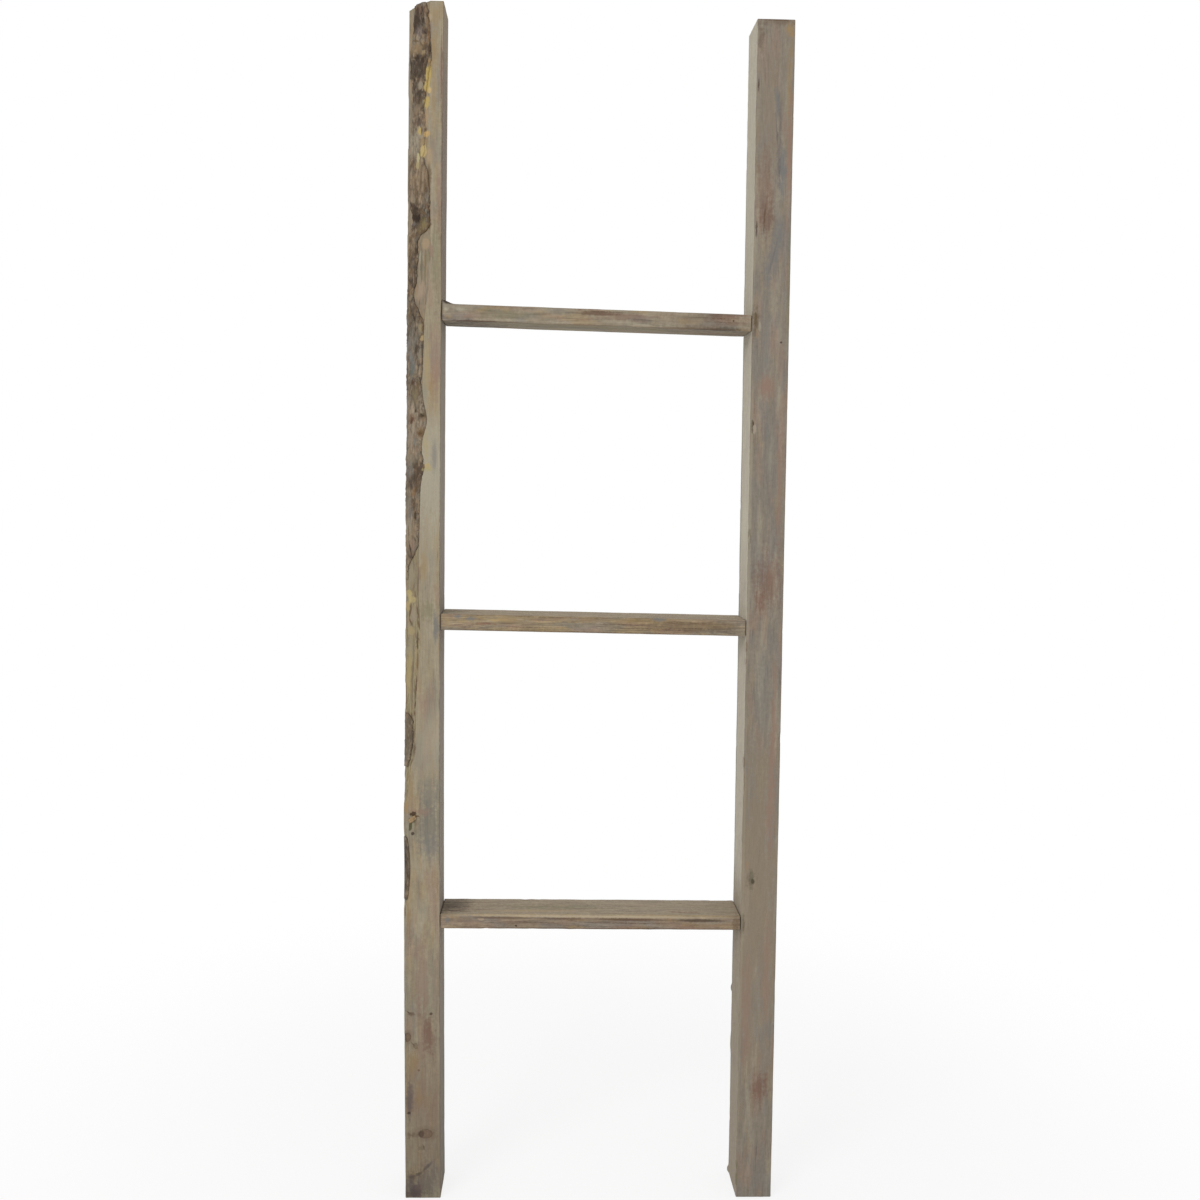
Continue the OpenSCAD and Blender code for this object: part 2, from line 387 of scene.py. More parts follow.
def skin(name, rings, centres, values=None):
    """A closed mesh over rings of points in millimetres, with a point in the middle of each end.

    values holds arrays by name, one number for each point of the rings, which the finish can read.
    The two middle points get MIDDLE_VALUE.
    """
    count, around = rings.shape[:2]
    points = np.concatenate([rings.reshape(-1, 3), np.array(centres)]) * MM
    i = np.arange(around)
    j = (i + 1) % around
    faces = []
    for ring in range(count - 1):
        low = ring * around
        high = low + around
        faces += np.stack([low + i, low + j, high + j, high + i], 1).tolist()
    first = count * around
    top = (count - 1) * around
    faces += np.stack([np.full(around, first), j, i], 1).tolist()
    faces += np.stack([top + i, top + j, np.full(around, first + 1)], 1).tolist()
    mesh = bpy.data.meshes.new(name)
    mesh.from_pydata(points.tolist(), [], faces)
    mesh.validate()
    mesh.polygons.foreach_set("use_smooth", [True] * len(mesh.polygons))
    for label, numbers in (values or {}).items():
        layer = mesh.attributes.new(label, "FLOAT", "POINT")
        numbers = np.append(numbers.ravel(), [MIDDLE_VALUE] * len(centres))
        layer.data.foreach_set("value", numbers.astype(np.float32))
    return add_object(name, mesh)


def dents(points, marks):
    """How far the marks lower each point; each mark is its place, its half sizes and its depth."""
    depth = np.zeros(points.shape[:-1])
    for place, half, low in marks:
        away = np.linalg.norm((points - np.array(place)) / np.array(half), axis=-1)
        depth += low * (1 - ease(away, 0.35, 1.0))
    return depth


def sunk(solid, wobble, seed, waves, ripples, ripple_deep):
    """How far a sawn face lies below its highest places, in long waves and short ripples."""
    low = wobble * (0.5 + 0.5 * noise(solid, waves, seed + 90, 3))
    return low + ripple_deep * (1 + noise(solid, ripples, seed + 91, 2))


# How far a worn edge bulges, as a share of its width, and its steps
ARRIS_SWELL = 0.2
ARRIS_STEPS = 4
# The least that an edge is worn back, and how much more where it is chipped
LEAST_ARRIS = 0.25
CHIP_SIZE = 1.6


def worn_arrises(lengths, least, seed):
    """How far each of a board's four edges is worn back, on the face before and after it."""
    sizes = []
    for k in range(8):
        slow = along_noise(lengths, 45, seed + k, 2)
        quick = along_noise(lengths, 9, seed + 20 + k, 2)
        chips = ease(along_noise(lengths, 16, seed + 40 + k, 2), 0.42, 0.8)
        sizes.append(least * (1 + 0.35 * slow + 0.5 * quick) + CHIP_SIZE * chips)
    sizes = np.maximum(np.stack(sizes, -1), LEAST_ARRIS)
    return sizes[:, :4], sizes[:, 4:]


def finish_piece(piece, nodes, slot, material):
    """Puts a piece in its nodes' place and gives it its finish."""
    piece.data.materials.clear()
    piece.data.materials.append(material)
    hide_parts(*nodes)
    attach(piece, "root")


# Screw holes

# Room round each screw's head
HEAD_CLEAR = 0.15
HOLE_SIDES = 32


def screw_places(node):
    """Head centre, direction into the wood and radius of each screw of a pair."""
    low, high = box_mm(node)
    radius = (high[2] - low[2]) / 2
    left = (low[0] + high[0]) / 2 < 0
    head_x = low[0] if left else high[0]
    z = (low[2] + high[2]) / 2
    direction = 1 if left else -1
    return [((head_x, y, z), direction, radius) for y in (low[1] + radius, high[1] - radius)]


def drill(piece, nodes, outside=6, head_rim=0.6, cone_h=2.4, shank_r=2.25, length=66):
    """Cuts the countersunk holes of these pairs of screws, with a tool that starts outside the wood."""
    cutter = bmesh.new()
    for node in nodes:
        for (x, y, z), direction, radius in screw_places(node):
            rim = radius + HEAD_CLEAR
            profile = [(-outside, rim), (head_rim, rim), (head_rim + cone_h, shank_r), (length, shank_r)]
            rows = []
            for place, r in profile:
                row = []
                for i in range(HOLE_SIDES):
                    angle = 2 * math.pi * i / HOLE_SIDES * direction
                    spot = (x + direction * place, y + r * math.cos(angle), z + r * math.sin(angle))
                    row.append(cutter.verts.new(Vector(spot) * MM))
                rows.append(row)
            for low, high in zip(rows, rows[1:]):
                for i in range(HOLE_SIDES):
                    j = (i + 1) % HOLE_SIDES
                    cutter.faces.new((low[i], low[j], high[j], high[i]))
            cutter.faces.new(rows[0][::-1])
            cutter.faces.new(rows[-1])
    bmesh.ops.recalc_face_normals(cutter, faces=cutter.faces)
    mesh = bpy.data.meshes.new("drill")
    cutter.to_mesh(mesh)
    cutter.free()
    tool = add_object("drill", mesh)
    cut = piece.modifiers.new("holes", "BOOLEAN")
    cut.operation = "DIFFERENCE"
    cut.solver = "MANIFOLD"
    cut.object = tool
    bpy.context.view_layer.update()
    drilled = bpy.data.meshes.new_from_object(piece.evaluated_get(bpy.context.evaluated_depsgraph_get()))
    piece.modifiers.clear()
    old = piece.data
    piece.data = drilled
    drilled.name = piece.name
    bpy.data.meshes.remove(old)
    bpy.data.objects.remove(tool)
    bpy.data.meshes.remove(mesh)


# Shader nodes

class Wire:
    """An output of a shader node; Python's operators on numbers add Math nodes."""

    def __init__(self, sheet, socket):
        self.sheet = sheet
        self.socket = socket

    def math(self, operation, *terms):
        """Any Math node, by its operation."""
        return self.sheet.add("ShaderNodeMath", {"operation": operation}, dict(enumerate(terms)))

    def __add__(self, other):
        return self.math("ADD", self, other)

    def __radd__(self, other):
        return self.math("ADD", other, self)

    def __sub__(self, other):
        return self.math("SUBTRACT", self, other)

    def __rsub__(self, other):
        return self.math("SUBTRACT", other, self)

    def __mul__(self, other):
        return self.math("MULTIPLY", self, other)

    def __rmul__(self, other):
        return self.math("MULTIPLY", other, self)

    def __abs__(self):
        return self.math("ABSOLUTE", self)


class Sheet:
    """The node tree of one material, or of the world."""

    def __init__(self, tree):
        self.tree = tree
        tree.nodes.clear()

    def add(self, kind, settings=None, sockets=None, output=0):
        """Adds a node of a type: its settings first, then its sockets' values or links."""
        node = self.tree.nodes.new(kind)
        for name, value in (settings or {}).items():
            setattr(node, name, value)
        for key, value in (sockets or {}).items():
            if isinstance(value, Wire):
                self.tree.links.new(value.socket, node.inputs[key])
            else:
                node.inputs[key].default_value = value
        return Wire(self, node.outputs[output]) if node.outputs else None

    def vector(self, operation, *terms, output=0):
        """Any Vector Math node, by its operation."""
        return self.add("ShaderNodeVectorMath", {"operation": operation}, dict(enumerate(terms)), output)

    def scale(self, vector, amount):
        """A vector or colour times a number."""
        return self.add("ShaderNodeVectorMath", {"operation": "SCALE"}, {0: vector, "Scale": amount})

    def parts(self, vector):
        """A vector's three numbers."""
        split = self.add("ShaderNodeSeparateXYZ", None, {0: vector}).socket.node
        return [Wire(self, output) for output in split.outputs]

    def joined(self, x, y, z):
        """A vector of three numbers."""
        return self.add("ShaderNodeCombineXYZ", None, {0: x, 1: y, 2: z})

    def ramp(self, value, low, high, top=1.0, bottom=0.0):
        """Smooth step from bottom to top as value goes from low to high."""
        return self.add(
            "ShaderNodeMapRange",
            {"interpolation_type": "SMOOTHSTEP"},
            {0: value, 1: low, 2: high, 3: bottom, 4: top},
        )

    def cloud(self, point, size, detail=2.0, rough=0.5, output=0, distortion=0.0):
        """Noise whose lumps have this size, in the units of point."""
        sockets = {"Vector": point, "Scale": 1 / size, "Detail": detail}
        sockets.update({"Roughness": rough, "Distortion": distortion})
        return self.add("ShaderNodeTexNoise", {"noise_dimensions": "3D"}, sockets, output)

    def blend(self, first, second, share, how="MIX"):
        """Mixes two colours."""
        settings = {"data_type": "RGBA", "blend_type": how}
        return self.add("ShaderNodeMix", settings, {0: share, 6: first, 7: second}, 2)

    def layers(self, colour, *layers):
        """Lays colours over one another, each with its share."""
        for tint, share in layers:
            colour = self.blend(colour, tint, share)
        return colour

    def millimetres(self):
        """The piece's own coordinates."""
        place = self.add("ShaderNodeTexCoord", output="Object")
        return self.scale(place, 1 / MM)

    def facing(self):
        """The surface's outward direction, by axis."""
        return self.parts(self.add("ShaderNodeNewGeometry", output="Normal"))

    def reach(self, point, place, half):
        """Distance from a place, in half sizes."""
        inverse = [1 / size for size in half]
        shift = [-where / size for where, size in zip(place, half)]
        away = self.vector("MULTIPLY_ADD", point, inverse, shift)
        return self.vector("LENGTH", away, output="Value")

    def spots(self, colour, grounds, ragged, marks):
        """Paints marks over a colour: soft ones on the first ground, crisp ones on the second."""
        for place, half, tone, share, crisp in marks:
            away = self.reach(grounds[crisp], place, half) + ragged[crisp]
            outside, inside = CRISP_EDGE if crisp else SOFT_EDGE
            colour = self.blend(colour, tone, self.ramp(away, outside, inside, share))
        return colour

    def knots(self, colour, point, ragged, knots):
        """Paints knots: a ringed heart, a dark rim and a stained halo."""
        for place, half, share in knots:
            away = self.reach(point, place, half) + ragged
            rings = away.math("SINE", away * KNOT_RINGS)
            heart = self.blend(KNOT_HEART, BROWN, self.ramp(rings, -0.2, 1.0, 0.8))
            rim = abs(away - KNOT_RIM)
            colour = self.blend(colour, KNOT_STAIN, self.ramp(away, 2.3, 0.9, 0.55 * share))
            colour = self.blend(colour, heart, self.ramp(away, 1.05, 0.85, 0.8 * share))
            colour = self.blend(colour, DARK, self.ramp(rim, 0.2, 0.0, 0.8 * share))
        return colour

    def strokes(self, colour, point, strokes):
        """Paints thin lines that taper to their ends, which the unevenness of point bends."""
        for start, end, width, tone, share in strokes:
            run = Vector(end) - Vector(start)
            frame_of_line = {
                "Location": (Vector(start) + Vector(end)) / 2,
                "Rotation": run.to_track_quat("Z", "Y").to_euler(),
                "Scale": (width, width, run.length * STROKE_REACH),
                "Vector": point,
            }
            local = self.add("ShaderNodeMapping", {"vector_type": "TEXTURE"}, frame_of_line)
            away = self.vector("LENGTH", local, output="Value")
            colour = self.blend(colour, tone, self.ramp(away, 1.0, 0.35, share))
        return colour

    def wane_place(self, place):
        """The flattened coordinates of the missing corner."""
        along = self.vector("DOT_PRODUCT", place, WANE_ALONG, output="Value")
        outward = self.vector("DOT_PRODUCT", place, WANE_OUTWARD, output="Value")
        return self.joined(along, outward * WANE_FLAT, self.parts(place)[2])

    def jolted(self, point, size, amount):
        """The same place, moved about by noise of this size."""
        drift = self.vector("SUBTRACT", self.cloud(point, size, 2, output=1), MIDDLE)
        return self.vector("MULTIPLY_ADD", drift, amount, point)

    def surface(self, colour, roughness, height, depth, strength=0.7, specular=0.25, metallic=0.0):
        """The material's output: colour and roughness wires, and a height in shares of depth."""
        bump = {"Strength": strength, "Distance": depth * MM, "Height": height}
        normal = self.add("ShaderNodeBump", None, bump)
        sockets = {"Base Color": colour, "Roughness": roughness, "Normal": normal}
        sockets.update({"Specular IOR Level": specular, "Metallic": metallic})
        shader = self.add("ShaderNodeBsdfPrincipled", None, sockets)
        self.add("ShaderNodeOutputMaterial", None, {"Surface": shader})


def new_material(name):
    """A material and the sheet of its nodes."""
    material = bpy.data.materials.new(name)
    material.use_nodes = True
    return material, Sheet(material.node_tree)


def paint(red, green, blue):
    """A colour as seen on a screen, 0 to 255, as the numbers that a shader takes."""
    linear = [part / 12.92 if part < 0.04045 else ((part + 0.055) / 1.055) ** 2.4
              for part in (red / 255, green / 255, blue / 255)]
    return (*linear, 1.0)


PINK = paint(150, 122, 106)
RED = paint(122, 84, 70)
OCHRE = paint(158, 132, 92)
YELLOW = paint(186, 160, 100)
ORANGE = paint(150, 110, 66)
OLIVE = paint(122, 116, 88)
BLUE_GREY = paint(122, 120, 116)
GREY = paint(126, 122, 112)
PALE = paint(176, 168, 148)
BROWN = paint(98, 76, 58)
DARK = paint(66, 52, 42)
CREAM = paint(196, 170, 122)
DUSK = paint(96, 90, 92)
PEELED = paint(132, 120, 100)
TAN = paint(160, 140, 108)
STRAW = paint(178, 156, 98)
PALE_STRAW = paint(184, 176, 134)
STRAW_WOOD = paint(160, 150, 114)
MOULD = paint(116, 108, 84)
DUST = paint(150, 139, 120)
SOOT = paint(62, 50, 38)
CRUST = paint(104, 86, 62)
BARK_DARK = paint(82, 70, 58)
BARK_PALE = paint(146, 128, 104)
BARK_GREY = paint(118, 112, 100)
BARK_WARM = paint(128, 100, 72)
BARK_VIOLET = paint(126, 116, 114)
BARK_PIT = paint(62, 50, 40)
KNOT_HEART = paint(128, 104, 78)
KNOT_STAIN = paint(118, 98, 80)
# The mean of a noise's colour
MIDDLE = (0.5, 0.5, 0.5)
# Rings of a knot's heart, and where its dark rim lies, in half sizes of the knot
KNOT_RINGS = 13
KNOT_RIM = 0.95
# Where a mark's colour ends outside and is whole inside, in half sizes of the mark
CRISP_EDGE = (1.2, 0.75)
SOFT_EDGE = (1.5, 0.25)
# Half length of a painted line, as a share of its run
STROKE_REACH = 0.62


# How deep into the wood marks on the front and on the missing corner reach
FRONT_DEEP = 7
WANE_DEEP = 1.6


def made(make, *rows):
    """Marks or lines from rows of numbers; a row that begins with a full place is one as it stands."""
    return [row if isinstance(row[0], tuple) else make(*row) for row in rows]


def front_mark(x, z, half_x, half_z, colour, share=0.6, crisp=False):
    """A mark on the front: place, half sizes, colour and how strongly it covers."""
    return ((x, Y_FRONT, z), (half_x, FRONT_DEEP, half_z), colour, share, crisp)


def wane_directions():
    """Along the missing corner from its side edge to the front, and straight out of it."""
    width, depth = (float(size) for size in wane_size(LEFT.height))
    whole = math.hypot(width, depth)
    return (width / whole, -depth / whole, 0.0), (-depth / whole, -width / whole, 0.0)


WANE_ALONG, WANE_OUTWARD = wane_directions()
# Marks on the missing corner reach this much further outwards than they are wide
WANE_FLAT = 0.2


def wane_spot(z, c, out=0.6):
    """A place on the missing corner, in the flattened coordinates that its marks are given in."""
    spot = on_wane(z, c, out)
    return (float(spot @ WANE_ALONG), float(spot @ WANE_OUTWARD) * WANE_FLAT, float(z))


def wane_mark(z, c, half_c, half_z, colour, share=0.6, crisp=False):
    """A mark on the missing corner or its bark, c from the corner's side edge."""
    return (wane_spot(z, c), (half_c, WANE_DEEP, half_z), colour, share, crisp)


def wane_line(z0, c0, z1, c1, width, tone, share):
    """A thin line on the missing corner."""
    return (wane_spot(z0, c0), wane_spot(z1, c1), width, tone, share)


def front_line(x0, z0, x1, z1, width, tone, share):
    """A thin line on a rail's or rung's front face."""
    return ((x0, Y_FRONT, z0), (x1, Y_FRONT, z1), width, tone, share)


LEFT_MARKS = made(
    front_mark,
    (-168, 762, 40, 60, PALE, 0.75), (-166, 487, 14, 30, PALE, 0.3), (-172, 225, 24, 50, GREY, 0.3),
    (-165.3, 1177, 2.9, 14, OCHRE), (-157.5, 1149, 1.9, 33, PINK),
    (-168.7, 1204, 1.4, 3.3, PALE, 0.7, True), (-165.5, 1130, 3.0, 30, OCHRE, 0.5),
    (-166, 1206, 9, 8, OCHRE, 0.45), (-159.6, 1028, 2.4, 31, PINK), (-162.4, 975, 4.4, 41, OLIVE, 0.45),
    (-163.0, 870, 5.4, 34, PINK, 0.6), (-171.5, 868, 3.0, 20, paint(166, 148, 112), 0.85),
    (-167.6, 848, 3, 12, OCHRE), (-172.9, 790, 2.5, 16, paint(172, 158, 124), 0.8),
    (-174.5, 843, 3, 12, paint(150, 145, 128), 0.7), (-164.5, 779, 3, 17, BLUE_GREY),
    (-171.4, 770, 4, 3, YELLOW, 0.6, True), (-174.8, 668, 3.5, 12.6, OCHRE, 0.5),
    (-179.3, 663, 2, 7.6, RED, 0.25), (-169.2, 625, 7, 10, OLIVE, 0.5),
    (-161.6, 609, 3.5, 14, BLUE_GREY, 0.8), (-176.6, 531, 4.6, 13, PINK, 0.4),
    (-167.8, 436, 10, 19, GREY, 0.7), (-187.7, 435, 2.6, 21, OCHRE, 0.5),
    (-168, 400, 14, 24, paint(116, 113, 103), 0.65), (-168, 380, 10, 14, BLUE_GREY, 0.55),
    (-178, 417, 9, 2.6, PINK, 0.6), (-184, 404, 4.6, 8, paint(118, 102, 78), 0.6),
    # The next two dark marks, above and to the right of the twig stub, are painted shadow beside it
    (-185.1, 414.4, 3.2, 2.4, paint(76, 58, 42), 0.95, True),
    (-181.0, 412.1, 2.3, 1.2, paint(100, 78, 54), 0.9, True),
    (-188.0, 401.3, 1.8, 4.8, paint(85, 82, 55), 0.95, True),
    (-185.0, 401.8, 1.4, 3.3, paint(145, 142, 118), 0.85, True),
    (-185.7, 394.2, 1.7, 1.8, DARK, 0.85, True), (-191.5, 424, 2.6, 9, OCHRE, 0.8),
    (-189.8, 332, 3.2, 24, OCHRE, 0.4), (-189.6, 300, 2.1, 18.6, ORANGE, 0.3),
    (-164, 330, 5, 40, PINK, 0.4), (-176, 240, 7, 40, PINK, 0.5),
    (-166.4, 202, 1.5, 1.5, DARK, 0.8, True), (-168.9, 178, 6.2, 19, paint(120, 90, 77), 0.75),
    (-187, 202, 4, 2, BROWN, 0.6, True), (-184, 151, 5.2, 12, OCHRE, 0.7),
    (-178.8, 140.6, 1.2, 1.2, BROWN, 0.8, True), (-178.7, 114, 3.1, 16, OCHRE, 0.7),
    (-188.7, 106, 3.7, 19, DUSK, 0.8), (-189.2, 94, 1.8, 1.6, DARK, 0.9, True),
    (-176.3, 70.6, 3.0, 4.0, DARK, 0.85, True), (-186, 69, 5.2, 3.3, BROWN, 0.6),
    (-176, 55, 4, 2.6, OLIVE, 0.6, True), (-184, 23, 5.5, 7, BROWN, 0.5),
    (-181, 9, 7, 7, paint(106, 78, 74), 0.7), (-186, 5, 9, 5, paint(74, 58, 58), 0.7),
    (-188, 14, 8, 12, DUSK, 0.7), (-170, 16, 12, 18, DUSK, 0.5), (-172, 100, 20, 90, PINK, 0.3),
)

# A knot is its place, its half sizes and how strongly it shows
LEFT_KNOTS = [
    ((-190.6, Y_FRONT, 176.5), (3.2, 6, 4.6), 0.95), ((-182.4, Y_FRONT, 167), (2.4, 5, 3.0), 0.55),
    ((-171.9, Y_FRONT, 71), (7.4, 6, 4.8), 0.7), ((-178.4, Y_FRONT, 201), (1.4, 4, 1.8), 0.5),
]

LEFT_STROKES = made(
    front_line,
    (-165.2, 40, -175.2, 29, 2.4, paint(90, 82, 80), 0.6),
    (-175.2, 29, -182.6, 24.6, 2.6, paint(76, 66, 62), 0.65),
    (-182.6, 24.6, -191, 23, 2.2, paint(90, 82, 80), 0.55), (-157.8, 1200, -158.3, 1085, 0.9, BROWN, 0.6),
    (-193.5, 206, -186, 201, 0.9, DARK, 0.7), (-188, 172, -179, 163, 0.8, DARK, 0.6),
    (-190.6, 310, -190.8, 255, 0.8, ORANGE, 0.35), (-193, 330, -193.2, 300, 0.8, BROWN, 0.7),
    (-192, 93, -186, 96, 0.8, DARK, 0.5), (-175.5, 61, -172, 52, 0.9, DARK, 0.5),
    (-158.4, 560, -158.6, 760, 0.7, BROWN, 0.5),
    (-156.6, 1150, -157.2, 960, 2.2, paint(108, 92, 80), 0.55),
    (-157.2, 960, -157.6, 640, 1.8, paint(116, 102, 90), 0.45),
)

# Marks on the bark alone
BARK_MARKS = made(
    wane_mark,
    (1178, 20, 8.5, 4.4, paint(142, 120, 90), 0.8), (1172, 28, 3.2, 2.6, TAN, 0.7, True),
    (1192, 22, 5, 6, BARK_VIOLET, 0.5), (1141, 24.9, 3.2, 4.2, DUST, 0.8, True),
    (1134, 26, 8, 3, SOOT, 0.7), (1119, 19.7, 6, 5, paint(138, 121, 98), 0.7),
    (1106, 22.3, 7.4, 3.2, paint(94, 79, 68), 0.85), (1017, 15, 6.4, 5.4, SOOT, 1),
    (1013.5, 21, 5, 4.6, paint(46, 36, 28), 1), (1010, 14, 3, 2.2, BARK_VIOLET, 0.5, True),
    (1008, 28.4, 4.4, 5.6, paint(128, 114, 76), 0.8), (1004, 23, 4.4, 3.6, paint(112, 98, 68), 0.75),
    (996, 25, 6, 4, paint(118, 108, 92), 0.7), (886, 22.4, 3.6, 5, SOOT, 0.7),
    (880, 11.8, 5, 6, BLUE_GREY, 0.8), (869, 15.6, 5, 7, BLUE_GREY, 0.7), (893, 8, 4, 6, BLUE_GREY, 0.6),
    (843, 20, 7, 11, SOOT, 0.85), (842, 20.4, 4.8, 8.6, paint(126, 112, 88), 0.9),
    (836, 20.5, 3, 4, paint(136, 120, 84), 0.7), (853, 15, 3.2, 3.2, paint(75, 50, 35), 0.9),
    (826, 19.6, 3.0, 2.6, SOOT, 0.95), (820, 28.4, 5.0, 5.0, CRUST, 0.9),
    (821.5, 27, 3.6, 2.6, SOOT, 0.85), (816.5, 29.6, 2.4, 2.4, paint(138, 120, 100), 0.6, True),
    (817, 11.5, 5.4, 5.4, paint(122, 96, 76), 0.95), (815, 12.5, 2.8, 3.6, paint(84, 62, 48), 0.95),
    (804, 26.5, 6.2, 6.2, paint(120, 98, 72), 0.95), (803, 26, 4.2, 2.6, paint(92, 68, 45), 0.9),
    (867, 14, 4.4, 6.4, paint(98, 102, 96), 0.8), (794, 19, 2.6, 3.6, paint(110, 114, 108), 0.8),
    (797, 11, 7, 8, paint(152, 138, 122), 0.6), (780, 10, 10, 8, DUST, 0.55),
    (765, 7.9, 5, 8, BLUE_GREY, 0.6), (764, 21, 5.5, 12, paint(84, 68, 54), 0.85),
    (748, 22.5, 3.4, 8, paint(92, 74, 56), 0.85), (744, 18, 2.2, 5, ORANGE, 0.6),
    (738, 9, 3.4, 10, DUST, 0.4), (722, 10, 5, 12, BLUE_GREY, 0.5), (720, 20.6, 2.6, 4, SOOT, 0.9, True),
    (705, 8, 5.4, 13, DUST, 0.7), (690, 15, 4, 7, PINK, 0.5), (1181, 8.5, 4, 8, TAN, 0.4),
    (1097.6, 23.7, 2.1, 4.2, STRAW, 1, True), (1072.6, 20.6, 2.4, 5.2, PALE_STRAW, 0.8, True),
    (1065.6, 20, 2.6, 3.4, paint(166, 151, 112), 0.9, True), (1131, 5, 3, 12, DUST, 0.6),
    (907, 27.3, 2.6, 5.4, paint(146, 131, 101), 0.9),
    (897, 29.3, 2.6, 3.0, paint(164, 143, 106), 0.95, True),
)

BARK_STROKES = made(
    wane_line,
    (1187, 11, 1183, 24, 1.6, CRUST, 0.85), (1183, 24, 1174, 31, 1.5, CRUST, 0.85),
    (1170, 13, 1167.5, 23, 2.0, SOOT, 0.8), (1167.5, 23, 1171, 31, 1.5, CRUST, 0.8),
    (1140, 12, 1127, 12.5, 2.6, SOOT, 0.6), (1131, 26.7, 1122, 27.2, 2.0, CRUST, 0.8),
    (1101, 27, 1094.3, 27, 1.6, CRUST, 0.8), (1103.5, 11.7, 1095.8, 12, 1.6, CRUST, 0.8),
    (1062, 25.6, 1040, 24.6, 2.4, CRUST, 0.75), (1060, 6, 1036, 5, 2.0, CRUST, 0.6),
    (1056, 15, 1034, 17, 1.8, CRUST, 0.7), (1052, 30.5, 1034, 30, 1.6, CRUST, 0.6),
    (1033, 5, 1026, 14, 2.6, SOOT, 0.9), (1026, 14, 1022, 24, 2.2, SOOT, 0.85),
    (1022, 24, 1016, 33, 2.0, CRUST, 0.85), (1002, 33.4, 999.5, 24, 2.4, CRUST, 0.85),
    (1000, 9, 958, 8, 2.0, CRUST, 0.6), (936, 10, 905, 8, 2.0, CRUST, 0.6),
    (924, 12.6, 908, 22, 1.8, SOOT, 0.85), (776, 17, 752, 18, 1.8, SOOT, 0.5),
    (740, 20, 716, 18.5, 2.0, CRUST, 0.7), (712, 8, 695.5, 8.5, 1.6, CRUST, 0.8),
    (695.5, 8.5, 680.5, 13.3, 1.8, SOOT, 0.9), (680.5, 13.3, 669, 17, 1.7, SOOT, 0.9),
    (860, 24, 838, 26, 1.6, CRUST, 0.7), (833, 24, 812, 23.5, 1.6, CRUST, 0.6),
    (1080, 23, 1073, 24, 1.3, paint(116, 106, 68), 0.85), (1072, 8, 1064, 14, 1.7, CRUST, 0.8),
    (918, 26.3, 909.5, 30.6, 1.5, CRUST, 0.9), (909.5, 30.6, 901.6, 30.8, 1.5, CRUST, 0.9),
    (901.6, 30.8, 895, 25.5, 1.6, CRUST, 0.9), (994, 16.5, 946, 14.5, 1.8, SOOT, 0.75),
)

# Marks on the bare wood of the missing corner, which run on to the bark beside them
WANE_MARKS = made(
    wane_mark,
    (1190, 35.4, 1.8, 14, ORANGE, 0.3), (1160, 36.4, 1.3, 7, OCHRE, 0.8, True),
    (1149, 34.8, 2.6, 10, STRAW, 1, True), (1139, 33.2, 3.4, 5.4, STRAW, 1, True),
    (1135, 35.8, 2.0, 3.2, CREAM, 0.9, True), (1123.6, 33.2, 3.5, 6.4, STRAW, 1, True),
    (1110, 32.6, 2.6, 8.5, paint(168, 143, 112), 0.85),
    (1094, 33.4, 3.6, 3.2, paint(186, 156, 106), 0.95, True), (1098.8, 32, 1.5, 1.6, CRUST, 0.8),
    (1086, 29, 5, 5, OCHRE, 0.6), (1078, 28.3, 4.2, 6.0, paint(184, 163, 112), 0.9, True),
    (1073.5, 35.2, 2.8, 8.5, paint(170, 148, 118), 0.85),
    (989, 29.4, 5.6, 5.6, paint(158, 138, 110), 0.9, True), (983, 36, 1.8, 7, PINK, 0.7),
    (977, 31.7, 2.6, 6, OLIVE, 0.6), (976, 22.6, 3.6, 6.2, paint(158, 151, 132), 0.9, True),
    (966, 24, 4, 4, paint(120, 114, 100), 0.7, True), (967, 34.4, 3, 6, DUST, 0.7),
    (944, 22.9, 5.4, 8, paint(160, 139, 119), 0.85), (955, 20, 3, 7, DUST, 0.6),
    (767, 32, 4.4, 2.2, paint(170, 160, 118), 0.8), (660, 8, 7, 12, paint(146, 136, 114), 0.8),
    (641, 6, 6.6, 3.6, paint(172, 154, 108), 0.9, True),
    (635.5, 12.4, 6.0, 3.4, paint(168, 151, 108), 0.9, True),
    (636, 8, 3.0, 6.4, paint(178, 161, 116), 0.7, True),
    (628, 3.8, 3.6, 5.5, paint(168, 148, 104), 0.85, True),
    (619, 13.6, 5.4, 8, paint(150, 136, 116), 0.9), (613, 20.6, 1.8, 5, CRUST, 0.8),
    (603, 10, 5.5, 4.5, paint(162, 145, 106), 0.75, True), (591, 19, 1.4, 6, DARK, 0.7, True),
    (585, 8, 7, 10, paint(148, 138, 118), 0.7), (558, 6, 4.2, 28, paint(164, 148, 106), 0.85),
    (566, 12.6, 1.6, 34, paint(120, 106, 82), 0.7),
)

